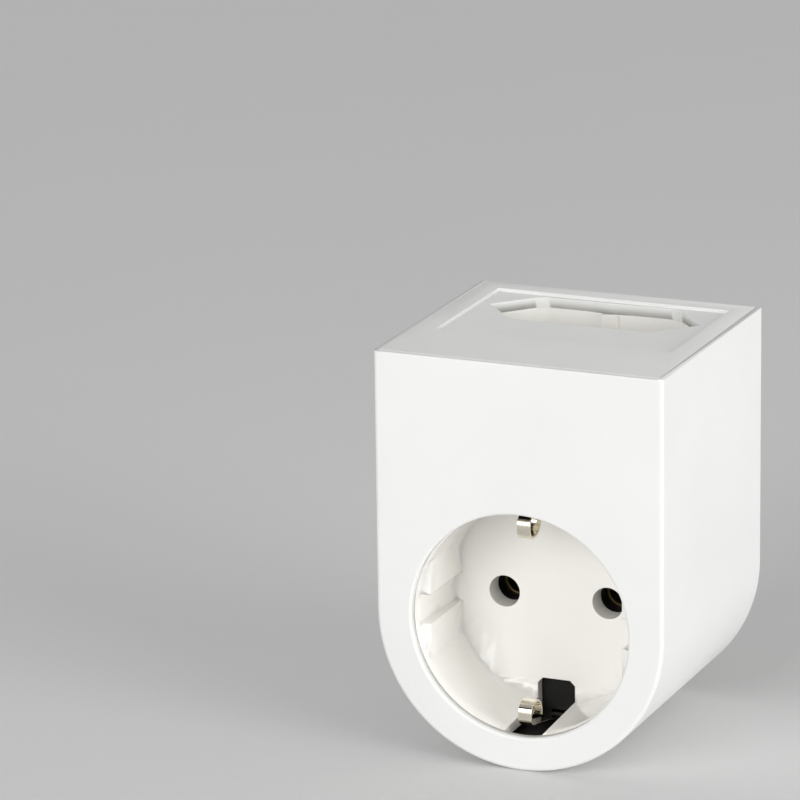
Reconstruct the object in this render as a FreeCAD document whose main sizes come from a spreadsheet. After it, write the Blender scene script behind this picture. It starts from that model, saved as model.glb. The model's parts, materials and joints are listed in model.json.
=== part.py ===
"""Travel adapter: a round earthed socket in front, a flat two-pin socket on top, a three-pin plug behind.

Frame: millimetres, +Z up, +Y into the wall, +X to the right as a user faces the adapter.
The origin lies on the plug's face, midway between the two flat blades.
"""
import FreeCAD, Part
import os

import Sketcher

V = FreeCAD.Vector
NO_TURN = FreeCAD.Rotation()
ALONG_Y = FreeCAD.Rotation(V(1, 0, 0), -90)
ALONG_X = FreeCAD.Rotation(V(0, 1, 0), 90)

SIZES = {
    # housing
    "shell_width": 52.0,
    "shell_height": 71.7,
    "shell_depth": 48.5,
    "shell_wall": 1.9,
    "front_wall": 1.7,
    "rim_lip": 0.94,
    "lip_gap": 0.16,
    "cover_thick": 2.5,
    "arm_drop": 0.05,
    "top_gap": 0.05,
    "edge_round": 0.7,
    "cover_round": 0.35,
    "snap_gap": 0.4,
    "snap_thick": 1.3,
    "snap_reach": 8.0,
    "snap_low": 24.0,
    "snap_high": 30.0,
    "blade_line": 23.9,
    # round socket
    "socket_rise": 1.8,
    "well_radius": 19.7,
    "well_draft": 0.8,
    "well_wall": 1.6,
    "well_depth": 17.2,
    "well_floor": 2.0,
    "mouth_round": 0.5,
    "flat_half": 17.4,
    "flat_start": 3.4,
    "flat_top": 8.6,
    "groove_half": 2.6,
    "pin_pitch": 19.0,
    "pin_hole_radius": 2.8,
    "slot_half": 3.4,
    "slot_reach": 14.9,
    "slot_chamfer": 0.9,
    "guide_wall": 0.3,
    "guide_length": 5.0,
    # flat two-pin socket
    "tray_half": 21.4,
    "tray_front": 16.6,
    "tray_back": 44.6,
    "tray_depth": 0.6,
    "flat_middle": 36.3,
    "flat_half_long": 19.3,
    "flat_half_edge": 12.6,
    "flat_half_short": 7.4,
    "flat_depth": 10.5,
    "flat_wall": 1.4,
    "flat_pitch": 18.6,
    "flat_hole_radius": 2.4,
    "mouth_margin": 0.25,
    "key_middle": 0.0,
    "key_half": 1.5,
    "key_proud": 0.7,
    # plug
    "disc_radius": 16.15,
    "disc_gap": 0.1,
    "disc_proud": 0.25,
    "disc_drop": 2.9,
    "disc_flange": 1.4,
    "flange_thick": 1.5,
    "blade_pitch": 12.7,
    "blade_thick": 1.5,
    "blade_width": 6.35,
    "blade_reach": 16.8,
    "blade_root": 10.5,
    "blade_bevel": 1.2,
    "collar_wide": 4.0,
    "collar_high": 8.8,
    "collar_deep": 4.2,
    "ground_drop": 11.89,
    "ground_radius": 2.38,
    "ground_neck": 2.2,
    "neck_reach": 0.3,
    "ground_reach": 20.4,
    "ground_collar_radius": 3.55,
    # inside
    "carrier_inner": 22.7,
    "carrier_outer": 23.6,
    "carrier_floor": 2.0,
    "sleeve_bore": 2.35,
    "flat_bore": 2.0,
    "contact_length": 12.0,
    "slit_half": 0.3,
    "slit_start": 2.0,
    "sleeve_outer": 3.1,
    "sleeve_length": 14.0,
    "boss_outer": 4.3,
    "strip": 0.8,
    "bus_start": 12.8,
    "bus_turn": 4.0,
    "bus_half": 3.0,
    "bus_low": 2.0,
    "bus_bend": 4.0,
    "bus_end": 8.0,
    "tab_low": 2.0,
    "tab_high": 5.0,
    "lug_drop": 2.4,
    "lug_length": 3.4,
    "bridge_half": 2.6,
    "foot_half": 2.0,
    "plate_radius": 22.8,
    "plate_thick": 2.5,
    "screw_radius": 1.3,
    "head_radius": 2.5,
    "head_thick": 1.4,
    "post_radius": 2.8,
    "post_level": 12.0,
    "post_across_upper": 17.0,
    "post_across_lower": 13.5,
    "ear_across": 19.5,
    "ear_level": 28.0,
    "ear_half": 3.4,
    "screw_length": 9.0,
    "ear_screw_length": 12.0,
    "rivet_radius": 1.0,
    "rivet_head": 0.6,
    "rivet_inset": 1.9,
    "holder_across": 16.0,
    "holder_thick": 2.4,
    "holder_boss": 1.8,
    "holder_pilot": 0.8,
    "holder_half": 5.0,
    "holder_margin": 2.6,
    "cell_length": 6.5,
    "holder_screw_length": 2.4,
    "holder_head": 2.3,
    "holder_head_thick": 1.0,
    "clip_half": 1.2,
    "clip_thick": 0.45,
    "clip_loop": 5.4,
    "clip_proud": 5.2,
    "clip_front": 2.5,
    "clip_heel": 18.0,
    "clip_root": 21.4,
    "clip_gap_half": 1.7,
    "clip_gap_deep": 1.6,
}

document = FreeCAD.newDocument("travel_adapter")
sheet = document.addObject("Spreadsheet::Sheet", "Sizes")
for row, (alias, number) in enumerate(SIZES.items(), start=1):
    sheet.set(f"A{row}", alias)
    sheet.set(f"B{row}", str(number))
    sheet.setAlias(f"B{row}", alias)
document.recompute()


def size(alias):
    """Read one driving size back from the sheet."""
    return float(sheet.get(alias))


def sized(text):
    """Turn an expression written with bare size names into one that reads the sheet."""
    words = text.replace("(", " ( ").replace(")", " ) ").split()
    return " ".join(f"Sizes.{word}" if word in SIZES else word for word in words)


# Levels that several pieces share, written with the sheet's names.
FRONT = "( - disc_proud - shell_depth )"
REAR = "( - disc_proud )"
PANEL_IN = f"( {REAR} - cover_thick )"
TOP = "( shell_height - blade_line )"
ARC = "( shell_width / 2 - blade_line )"
WELL_FRONT = f"( {FRONT} + front_wall )"
WELL_FLOOR = f"( {FRONT} + well_depth )"
WELL_BACK = f"( {WELL_FLOOR} + well_floor )"
CARRIER_FRONT = f"( {WELL_BACK} + 0.1 )"
CARRIER_BACK = f"( {CARRIER_FRONT} + carrier_floor )"
FLANGE_IN = f"( {PANEL_IN} - flange_thick )"
PLATE_IN = f"( {FLANGE_IN} - plate_thick )"
CONTACT_FRONT = f"( {CARRIER_FRONT} + guide_length )"
BUS_TURN = f"( {FLANGE_IN} - bus_turn )"
FLAT_Y = f"( {FRONT} + flat_middle )"
FLAT_FLOOR = f"( {TOP} - flat_depth )"
FLAT_UNDER = f"( {FLAT_FLOOR} - flat_wall )"
CELL_X = "( pin_pitch / 2 )"
FLAT_X = "( flat_pitch / 2 )"
BLADE_X = "( blade_pitch / 2 )"
BUS_X = f"( {CELL_X} + sleeve_outer )"
SIDES = {"live": "1", "neutral": "-1"}

bodies = {}


def bind(thing, **expressions):
    """Bind properties of an object to expressions on the sheet."""
    for path, text in expressions.items():
        thing.setExpression(path.replace("__", "."), sized(text))


def new_body(label):
    """Start the PartDesign body of one sub-part."""
    body = document.addObject("PartDesign::Body", label)
    body.Label = label
    bodies[label] = body
    return body


def primitive(body, kind, name, base, turn, **sizes):
    """Add or take away a box, cylinder or cone placed by expressions."""
    thing = body.newObject(f"PartDesign::{kind}", name)
    thing.Placement = FreeCAD.Placement(V(0, 0, 0), turn)
    bind(thing, Placement__Base__x=base[0], Placement__Base__y=base[1], Placement__Base__z=base[2])
    bind(thing, **sizes)
    return thing


def block(body, name, x, y, z, cut=False):
    """A box between two levels on each axis."""
    kind = "SubtractiveBox" if cut else "AdditiveBox"
    spans = [f"( {high} ) - ( {low} )" for low, high in (x, y, z)]
    return primitive(body, kind, name, (x[0], y[0], z[0]), NO_TURN,
                     Length=spans[0], Width=spans[1], Height=spans[2])


def round_bar(body, name, centre, radius, length, turn=ALONG_Y, cut=False):
    """A cylinder that starts at centre and runs along +Y unless turned."""
    kind = "SubtractiveCylinder" if cut else "AdditiveCylinder"
    return primitive(body, kind, name, centre, turn, Radius=radius, Height=length)


def taper(body, name, centre, start, end, length, turn=ALONG_Y, cut=False):
    """A cone from one radius to another."""
    kind = "SubtractiveCone" if cut else "AdditiveCone"
    return primitive(body, kind, name, centre, turn, Radius1=start, Radius2=end, Height=length)


def arch(body, name, half, front, rear, top, cut=False):
    """The housing's outline: straight sides up from a half round, between two Y levels."""
    depth = f"( {rear} ) - ( {front} )"
    block(body, f"{name}_sides", (f"- ( {half} )", half), (front, rear), (ARC, top), cut)
    round_bar(body, f"{name}_round", ("0", front, ARC), half, depth, cut=cut)


def outline(body, plane, name, corners, offset):
    """A closed outline on one of the body's own planes, each corner dimensioned from its centre."""
    support = next(item for item in body.Origin.OriginFeatures if item.Role == plane)
    sketch = body.newObject("Sketcher::SketchObject", name)
    sketch.AttachmentSupport = [(support, "")]
    sketch.MapMode = "FlatFace"
    bind(sketch, AttachmentOffset__Base__z=offset)
    count = len(corners)
    circle = [V(10, 0, 0)]
    turn = FreeCAD.Rotation(V(0, 0, 1), 360.0 / count)
    for _ in range(count - 1):
        circle.append(turn.multVec(circle[-1]))
    for index in range(count):
        sketch.addGeometry(Part.LineSegment(circle[index], circle[(index + 1) % count]))
    for index in range(count):
        sketch.addConstraint(Sketcher.Constraint("Coincident", index, 2, (index + 1) % count, 1))
    for index, (across, up) in enumerate(corners):
        for kind, text in (("DistanceX", across), ("DistanceY", up)):
            number = sketch.addConstraint(Sketcher.Constraint(kind, -1, 1, index, 1, 1.0))
            sketch.setExpression(f"Constraints[{number}]", sized(text))
    document.recompute()
    return sketch


def pad(body, sketch, length, symmetric=False, reverse=False, cut=False):
    """Extrude an outline into a solid, or take it away."""
    kind = "PartDesign::Pocket" if cut else "PartDesign::Pad"
    feature = body.newObject(kind, f"{sketch.Name}_run")
    feature.Profile = sketch
    feature.Midplane = symmetric
    feature.Reversed = reverse
    bind(feature, Length=length)
    document.recompute()
    return feature


def round_edges(body, name, radius, chosen):
    """Fillet the edges of the body's last feature that a test picks."""
    document.recompute()
    last = body.Tip
    names = [f"Edge{number}" for number, edge in enumerate(last.Shape.Edges, start=1) if chosen(edge)]
    feature = body.newObject("PartDesign::Fillet", name)
    feature.Base = (last, names)
    bind(feature, Radius=radius)
    document.recompute()
    return feature


def lies_at(edge, axis, level):
    """Whether an edge lies wholly in the plane where that axis has that value."""
    box = edge.BoundBox
    low = {"x": box.XMin, "y": box.YMin, "z": box.ZMin}[axis]
    high = {"x": box.XMax, "y": box.YMax, "z": box.ZMax}[axis]
    return abs(low - level) < 0.01 and abs(high - level) < 0.01


front_face = -size("disc_proud") - size("shell_depth")
rear_face = -size("disc_proud")
top_face = size("shell_height") - size("blade_line")
mouth_top = size("socket_rise") + size("well_radius") + size("mouth_round")


def outer_sleeve():
    """U-shaped tub: front wall with the round opening, sides and round bottom, open above and behind."""
    body = new_body("outer_sleeve")
    arch(body, "outside", "shell_width / 2", FRONT, REAR, f"( {TOP} - arm_drop )")
    inner = "( shell_width / 2 - shell_wall )"
    arch(body, "inside", inner, WELL_FRONT, f"( {REAR} + 1 )", f"( {TOP} + 1 )", cut=True)
    lip = "( shell_width / 2 - rim_lip )"
    arch(body, "rear_rebate", lip, PANEL_IN, f"( {REAR} + 1 )", f"( {TOP} + 1 )", cut=True)
    block(body, "top_rebate", (f"- {lip}", lip), (f"{FRONT} + rim_lip", f"{REAR} + 1"),
          (f"{TOP} - cover_thick", f"{TOP} + 1"), cut=True)
    round_bar(body, "opening", ("0", f"{FRONT} - 1", "socket_rise"), "well_radius", "front_wall + 2",
              cut=True)
    round_edges(body, "front_edge", "edge_round",
                lambda edge: lies_at(edge, "y", front_face) and edge.BoundBox.XLength > 20
                and edge.BoundBox.ZMin < 1 - size("blade_line"))
    round_edges(body, "mouth_edge", "mouth_round",
                lambda edge: lies_at(edge, "y", front_face) and edge.BoundBox.ZMax < mouth_top)
    for number, side in enumerate(("1", "-1")):
        centre = (f"{side} * ear_across", f"{WELL_FRONT} - 0.2", "ear_level")
        round_bar(body, f"screw_post{number}", centre, "post_radius", f"{CARRIER_FRONT} - {WELL_FRONT} + 0.2")
        round_bar(body, f"post_hole{number}", (centre[0], f"{WELL_FRONT} + 5", centre[2]),
                  "screw_radius", "20", cut=True)
    return body


def rear_cover():
    """L-shaped cover: the rear panel with the plug's hole and the top plate with the flat socket's mouth."""
    body = new_body("rear_cover")
    half = "( shell_width / 2 - rim_lip - lip_gap )"
    arch(body, "panel", half, f"{PANEL_IN} + 0.05", REAR, TOP)
    plate_half = "( shell_width / 2 - rim_lip - top_gap )"
    plate_depth = (f"{FRONT} + rim_lip + lip_gap", f"{REAR} - lip_gap")
    block(body, "plate", (f"- {plate_half}", plate_half), plate_depth, (f"{TOP} - cover_thick + 0.05", TOP))
    round_edges(body, "outer_edge", "cover_round",
                lambda edge: (lies_at(edge, "z", top_face) and lies_at(edge, "y", rear_face)))
    block(body, "tray", ("- tray_half", "tray_half"), (f"{FRONT} + tray_front", f"{FRONT} + tray_back"),
          (f"{TOP} - tray_depth", f"{TOP} + 1"), cut=True)
    mouth = outline(body, "XY_Plane", "flat_mouth", flat_corners("mouth_margin"), f"{TOP} + 1")
    pad(body, mouth, "cover_thick + 2", cut=True)
    round_bar(body, "plug_hole", ("0", f"{PANEL_IN} - 1", "- disc_drop"), "disc_radius + disc_gap",
              "cover_thick + 2", cut=True)
    for number, side in enumerate(("1", "-1")):
        leg_outer = f"{side} * ( shell_width / 2 - shell_wall - snap_gap )"
        leg_inner = f"{side} * ( shell_width / 2 - shell_wall - snap_gap - snap_thick )"
        span = (leg_inner, leg_outer) if side == "1" else (leg_outer, leg_inner)
        block(body, f"snap_leg{number}", span, (f"{PANEL_IN} - snap_reach", f"{PANEL_IN} + 0.1"),
              ("snap_low", "snap_high"))
    return body


def flat_corners(margin):
    """The six-sided outline of a flat two-pin plug, grown by a margin; XY plane."""
    tip = f"( flat_half_long + {margin} )"
    edge = f"( flat_half_edge + {margin} * 0.4 )"
    side = f"( flat_half_short + {margin} )"
    return [
        (tip, FLAT_Y),
        (edge, f"{FLAT_Y} + {side}"),
        (f"- {edge}", f"{FLAT_Y} + {side}"),
        (f"- {tip}", FLAT_Y),
        (f"- {edge}", f"{FLAT_Y} - {side}"),
        (edge, f"{FLAT_Y} - {side}"),
    ]


def socket_well():
    """Round recess for an earthed plug: drafted wall, side flats with grooves, slots for the earth clips."""
    body = new_body("socket_well")
    start = ("0", WELL_FRONT, "socket_rise")
    round_bar(body, "cup", start, "well_radius + well_wall", f"{WELL_BACK} - {WELL_FRONT}")
    taper(body, "hollow", start, "well_radius", "well_radius - well_draft", f"{WELL_FLOOR} - {WELL_FRONT}",
          cut=True)
    for number, side in enumerate(("1", "-1")):
        inner = f"{side} * flat_half"
        outer = f"{side} * ( well_radius + 0.4 )"
        span = (inner, outer) if side == "1" else (outer, inner)
        depth = (f"{FRONT} + flat_start", f"{WELL_FLOOR} + 0.5")
        block(body, f"upper_flat{number}", span, depth,
              ("socket_rise + groove_half", "socket_rise + flat_top"))
        block(body, f"lower_flat{number}", span, depth,
              ("socket_rise - flat_top", "socket_rise - groove_half"))
        guide = (f"{side} * {CELL_X}", f"{WELL_BACK} - 0.1", "socket_rise")
        round_bar(body, f"pin_guide{number}", guide, "pin_hole_radius + guide_wall", "guide_length + 0.1")
        hole = (f"{side} * {CELL_X}", f"{WELL_FLOOR} - 1", "socket_rise")
        round_bar(body, f"pin_hole{number}", hole, "pin_hole_radius", "well_floor + guide_length + 2",
                  cut=True)
        slot = outline(body, "XZ_Plane", f"clip_slot{number}", slot_corners(side), f"( 0 ) - {WELL_FRONT}")
        pad(body, slot, "( well_depth + well_floor ) * 2", symmetric=True, cut=True)
    return body


def slot_corners(side):
    """One earth clip's slot, seen along Y: it leaves the cup at its rim and ends in two chamfered corners."""
    rim = f"socket_rise + {side} * ( well_radius + 3 )"
    shoulder = f"socket_rise + {side} * ( slot_reach + slot_chamfer )"
    end = f"socket_rise + {side} * slot_reach"
    return [
        ("- slot_half", rim),
        ("slot_half", rim),
        ("slot_half", shoulder),
        ("slot_half - slot_chamfer", end),
        ("- slot_half + slot_chamfer", end),
        ("- slot_half", shoulder),
    ]


def flat_well():
    """Recess for a flat two-pin plug, hung under the top plate, with two pin holes in its floor."""
    body = new_body("flat_well")
    seat = f"( {TOP} - cover_thick )"
    outer = outline(body, "XY_Plane", "cup_outline", flat_corners("flat_wall"), FLAT_UNDER)
    pad(body, outer, f"{seat} - {FLAT_UNDER}")
    inner = outline(body, "XY_Plane", "hollow_outline", flat_corners("0"), f"{TOP} + 1")
    pad(body, inner, "flat_depth + 1", cut=True)
    for number, side in enumerate(("1", "-1")):
        round_bar(body, f"pin_hole{number}", (f"{side} * {FLAT_X}", FLAT_Y, f"{FLAT_UNDER} - 1"),
                  "flat_hole_radius", "flat_wall + 2", turn=NO_TURN, cut=True)
        post = (f"{side} * holder_across", FLAT_Y, f"{FLAT_UNDER} - holder_thick - 0.1")
        round_bar(body, f"boss{number}", post, "holder_boss", "holder_thick + 0.1", turn=NO_TURN)
        round_bar(body, f"pilot{number}", post, "holder_pilot", "holder_thick + 0.5", turn=NO_TURN, cut=True)
    block(body, "key_rib", ("key_middle - key_half", "key_middle + key_half"),
          (f"{FLAT_Y} + flat_half_short - key_proud", f"{FLAT_Y} + flat_half_short"), (FLAT_FLOOR, seat))
    return body


def plug_face_disc():
    """Round face of the plug, held from inside by its flange, with openings for the three collars."""
    body = new_body("plug_face_disc")
    middle = ("0", f"{PANEL_IN}", "- disc_drop")
    round_bar(body, "face", middle, "disc_radius", f"( 0 ) - {PANEL_IN}")
    round_bar(body, "flange", ("0", FLANGE_IN, "- disc_drop"), "disc_radius + disc_flange", "flange_thick")
    for side, sign in SIDES.items():
        block(body, f"{side}_window",
              (f"{sign} * {BLADE_X} - collar_wide / 2 - 0.1", f"{sign} * {BLADE_X} + collar_wide / 2 + 0.1"),
              (f"{FLANGE_IN} - 1", "1"), ("- collar_high / 2 - 0.1", "collar_high / 2 + 0.1"), cut=True)
    round_bar(body, "ground_window", ("0", f"{FLANGE_IN} - 1", "- ground_drop"),
              "ground_collar_radius + 0.1", "10", cut=True)
    return body


def blade_collar(side):
    """Moulded collar round one flat blade."""
    body = new_body(f"blade_collar_{side}")
    middle = f"{SIDES[side]} * {BLADE_X}"
    depth = (FLANGE_IN, "0")
    block(body, "collar", (f"{middle} - collar_wide / 2", f"{middle} + collar_wide / 2"), depth,
          ("- collar_high / 2", "collar_high / 2"))
    block(body, "passage", (f"{middle} - blade_thick / 2", f"{middle} + blade_thick / 2"),
          (f"{FLANGE_IN} - 1", "1"), ("- blade_width / 2", "blade_width / 2"), cut=True)
    return body


def ground_collar():
    """Moulded collar round the ground pin."""
    body = new_body("ground_collar")
    round_bar(body, "collar", ("0", FLANGE_IN, "- ground_drop"), "ground_collar_radius",
              f"( 0 ) - {FLANGE_IN}")
    round_bar(body, "passage", ("0", f"{FLANGE_IN} - 1", "- ground_drop"), "ground_neck", "10", cut=True)
    return body


def blade(side):
    """Flat plug blade with a bevelled tip, riveted to its busbar at the root."""
    body = new_body(f"blade_{side}")
    high = "( blade_width / 2 )"
    tip = "blade_reach"
    profile = [
        ("- blade_root", f"- {high}"),
        (f"{tip} - blade_bevel", f"- {high}"),
        (tip, f"- {high} + blade_bevel"),
        (tip, f"{high} - blade_bevel"),
        (f"{tip} - blade_bevel", high),
        ("- blade_root", high),
    ]
    middle = f"{SIDES[side]} * {BLADE_X}"
    sketch = outline(body, "YZ_Plane", "blade_outline", profile, middle)
    pad(body, sketch, "blade_thick", symmetric=True)
    round_bar(body, "rivet_hole", (f"{middle} - 2", "- blade_root + rivet_inset", "0"), "rivet_radius", "4",
              turn=ALONG_X, cut=True)
    return body


def ground_pin():
    """Round ground pin: domed tip, and a slightly thinner shank that takes the earth bridge's rivet."""
    body = new_body("ground_pin")
    round_bar(body, "shank", ("0", "- blade_root - 1", "- ground_drop"), "ground_neck",
              "blade_root + 1 + neck_reach")
    round_bar(body, "shaft", ("0", "neck_reach", "- ground_drop"), "ground_radius",
              "ground_reach - ground_radius - neck_reach")
    dome = body.newObject("PartDesign::AdditiveSphere", "dome")
    bind(dome, Radius="ground_radius", Placement__Base__y="ground_reach - ground_radius",
         Placement__Base__z="- ground_drop")
    round_bar(body, "rivet_hole", ("0", "- blade_root + rivet_inset", "- ground_drop - 4"),
              "rivet_radius", "8", turn=NO_TURN, cut=True)
    return body


def contact_carrier():
    """Dark moulded cup behind the round socket that holds the contact sleeves and closes off the inside."""
    body = new_body("contact_carrier")
    start = ("0", f"{WELL_FRONT} + 0.1", "socket_rise")
    round_bar(body, "cup", start, "carrier_outer", f"{CARRIER_BACK} - {WELL_FRONT} - 0.1")
    round_bar(body, "hollow", ("0", f"{WELL_FRONT} - 1", "socket_rise"), "carrier_inner",
              f"{CARRIER_FRONT} - {WELL_FRONT} + 1", cut=True)
    for number, side in enumerate(("1", "-1")):
        ear = (f"{side} * ear_across - ear_half", f"{side} * ear_across + ear_half")
        block(body, f"ear{number}", ear, (CARRIER_FRONT, CARRIER_BACK),
              ("socket_rise", "ear_level + ear_half"))
        round_bar(body, f"boss{number}", (f"{side} * {CELL_X}", CARRIER_FRONT, "socket_rise"), "boss_outer",
                  "sleeve_length")
        for name, across, level in post_places(side):
            post = (across, CARRIER_FRONT, level)
            round_bar(body, name, post, "post_radius", f"{PLATE_IN} - {CARRIER_FRONT}")
            round_bar(body, f"{name}_hole", (across, f"{PLATE_IN} - screw_length", level), "screw_radius",
                      "screw_length + 1", cut=True)
    for number, side in enumerate(("1", "-1")):
        round_bar(body, f"ear_hole{number}", (f"{side} * ear_across", f"{CARRIER_FRONT} - 1", "ear_level"),
                  "screw_radius", "carrier_floor + 2", cut=True)
        round_bar(body, f"cell{number}", (f"{side} * {CELL_X}", f"{CARRIER_FRONT} - 1", "socket_rise"),
                  "sleeve_outer + 0.05", "40", cut=True)
        gap = ("carrier_inner - clip_gap_deep" if side == "1" else "- carrier_inner",
               "carrier_inner" if side == "1" else "- carrier_inner + clip_gap_deep")
        block(body, f"clip_gap{number}", ("- clip_gap_half", "clip_gap_half"),
              (f"{CARRIER_FRONT} - 1", f"{CARRIER_BACK} + 1"),
              (f"socket_rise + ( {gap[0]} )", f"socket_rise + ( {gap[1]} )"), cut=True)
    return body


def split_sleeve(label, centre, bore, length, turn, slit):
    """Contact sleeve: a rolled tube with one long slit."""
    body = new_body(label)
    round_bar(body, "tube", centre, "sleeve_outer", length, turn=turn)
    round_bar(body, "pin_bore", centre, bore, length, turn=turn, cut=True)
    block(body, "slit", *slit, cut=True)
    return body


def socket_contact(side):
    """Contact sleeve behind one hole of the round socket."""
    middle = f"{SIDES[side]} * {CELL_X}"
    slit = ((f"{middle} - slit_half", f"{middle} + slit_half"),
            (f"{CONTACT_FRONT} + slit_start", f"{CONTACT_FRONT} + 20"), ("socket_rise", "socket_rise + 5"))
    return split_sleeve(f"socket_contact_{side}", (middle, CONTACT_FRONT, "socket_rise"), "sleeve_bore",
                        "contact_length", ALONG_Y, slit)


def flat_contact(side):
    """Contact sleeve under one hole of the flat socket."""
    middle = f"{SIDES[side]} * {FLAT_X}"
    slit = ((f"{middle} - slit_half", f"{middle} + slit_half"), (FLAT_Y, f"{FLAT_Y} + 5"),
            (f"{FLAT_UNDER} - 20", f"{FLAT_UNDER} - slit_start"))
    low = f"{FLAT_UNDER} - 0.1 - sleeve_length"
    return split_sleeve(f"flat_contact_{side}", (middle, FLAT_Y, low), "flat_bore", "sleeve_length",
                        NO_TURN, slit)


def flat_contact_holder():
    """Dark moulding under the flat socket that holds its two contact sleeves."""
    body = new_body("flat_contact_holder")
    top = f"( {FLAT_UNDER} - 0.05 )"
    reach = "( holder_across + holder_margin )"
    block(body, "plate", (f"- {reach}", reach), (f"{FLAT_Y} - holder_half", f"{FLAT_Y} + holder_half"),
          (f"{top} - holder_thick", top))
    for number, side in enumerate(("1", "-1")):
        round_bar(body, f"boss{number}", (f"{side} * {FLAT_X}", FLAT_Y, f"{top} - cell_length"), "boss_outer",
                  "cell_length", turn=NO_TURN)
    for number, side in enumerate(("1", "-1")):
        round_bar(body, f"cell{number}", (f"{side} * {FLAT_X}", FLAT_Y, f"{top} - 20"),
                  "sleeve_outer + 0.05", "21", turn=NO_TURN, cut=True)
        round_bar(body, f"screw_hole{number}", (f"{side} * holder_across", FLAT_Y, f"{top} - 20"),
                  "holder_boss + 0.1", "21", turn=NO_TURN, cut=True)
    return body


def busbar(side):
    """Bent brass strip that joins one blade to its round-socket and flat-socket sleeves."""
    body = new_body(f"busbar_{side}")
    profile = [
        (f"{CARRIER_BACK} + bus_start", "socket_rise - bus_low"),
        (BUS_TURN, "socket_rise - bus_low"),
        (BUS_TURN, "socket_rise + bus_bend"),
        (f"{FLAT_Y} + bus_half", "socket_rise + bus_bend + 2"),
        (f"{FLAT_Y} + bus_half", f"{FLAT_UNDER} - bus_end"),
        (f"{FLAT_Y} - bus_half", f"{FLAT_UNDER} - bus_end"),
        (f"{FLAT_Y} - bus_half", "socket_rise + bus_bend * 2"),
        (f"{CARRIER_BACK} + bus_start", "socket_rise + bus_bend"),
    ]
    inner = f"{SIDES[side]} * ( {BUS_X} + strip / 2 )"
    sketch = outline(body, "YZ_Plane", "strip_outline", profile, inner)
    pad(body, sketch, "strip", symmetric=True)
    blade_face = f"( {BLADE_X} + blade_thick / 2 )"
    tab = [blade_face, f"( {BUS_X} + strip )"]
    lug = [blade_face, f"( {blade_face} + strip )"]
    if side == "neutral":
        tab = [f"- {tab[1]}", f"- {tab[0]}"]
        lug = [f"- {lug[1]}", f"- {lug[0]}"]
    block(body, "cross_tab", tuple(tab), (f"{BUS_TURN} - strip", BUS_TURN), ("tab_low", "tab_high"))
    block(body, "blade_lug", tuple(lug), ("- blade_root + 0.2", "- blade_root + 0.2 + lug_length"),
          ("- lug_drop", "tab_high"))
    round_bar(body, "rivet_hole", (f"{SIDES[side]} * {BLADE_X} - 3", "- blade_root + rivet_inset", "0"),
              "rivet_radius", "6", turn=ALONG_X, cut=True)
    return body


def blade_carrier():
    """Dark moulded plate that grips the blades and the ground pin, screwed to the contact carrier's posts."""
    body = new_body("blade_carrier")
    round_bar(body, "plate", ("0", PLATE_IN, ARC), "plate_radius", "plate_thick")
    for side, sign in SIDES.items():
        middle = f"{sign} * {BLADE_X}"
        block(body, f"{side}_slot", (f"{middle} - blade_thick / 2", f"{middle} + blade_thick / 2"),
              (f"{FLANGE_IN} - 4", f"{FLANGE_IN} + 1"), ("- blade_width / 2", "blade_width / 2"), cut=True)
    round_bar(body, "ground_hole", ("0", f"{FLANGE_IN} - 4", "- ground_drop"), "ground_neck", "6", cut=True)
    for name, across, level in post_places("1") + post_places("-1"):
        round_bar(body, f"{name}_hole", (across, f"{FLANGE_IN} - 4", level), "screw_radius", "6", cut=True)
        round_bar(body, f"{name}_seat", (across, f"{FLANGE_IN} - head_thick", level), "head_radius", "3",
                  cut=True)
    return body


def post_places(side):
    """Name, place across and level of the two carrier posts on one side."""
    word = "right" if side == "1" else "left"
    return [
        (f"{word}_upper", f"{side} * post_across_upper", "post_level"),
        (f"{word}_lower", f"{side} * post_across_lower", "- post_level"),
    ]


def group_of(label, shapes):
    """Identical fasteners as one sub-part: a group of separate solids."""
    group = document.addObject("Part::Feature", label)
    group.Label = label
    group.Shape = Part.makeCompound(shapes)
    group.Placement = FreeCAD.Placement()
    bodies[label] = group
    return group


def screws(label, seats, radius, length, head_radius, head_length, axis):
    """Cross-headed screws whose heads rise along the axis from each seat."""
    shapes = []
    slot = 0.3 * head_radius
    for seat in seats:
        shank = Part.makeCylinder(radius, length, seat - axis * length, axis)
        cap = Part.makeCylinder(head_radius, head_length, seat, axis)
        cross = Part.makeBox(slot, slot * 4, slot, V(-slot / 2, -slot * 2, 0))
        cross = cross.fuse(Part.makeBox(slot * 4, slot, slot, V(-slot * 2, -slot / 2, 0)))
        place = seat + axis * (head_length - slot * 0.9)
        cross.Placement = FreeCAD.Placement(place, FreeCAD.Rotation(V(0, 0, 1), axis))
        shapes.append(shank.fuse(cap).cut(cross).removeSplitter())
    return group_of(label, shapes)


def rivets(label, middles, grip, axis):
    """Two-headed rivets; grip is the length between the heads."""
    shapes = []
    radius = size("rivet_radius")
    head = size("rivet_head")
    for middle in middles:
        start = middle - axis * (grip / 2)
        shank = Part.makeCylinder(radius, grip, start, axis)
        caps = [Part.makeCylinder(radius + head, head, start + axis * grip, axis),
                Part.makeCylinder(radius + head, head, start - axis * head, axis)]
        shapes.append(shank.fuse(caps).removeSplitter())
    return group_of(label, shapes)


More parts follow.
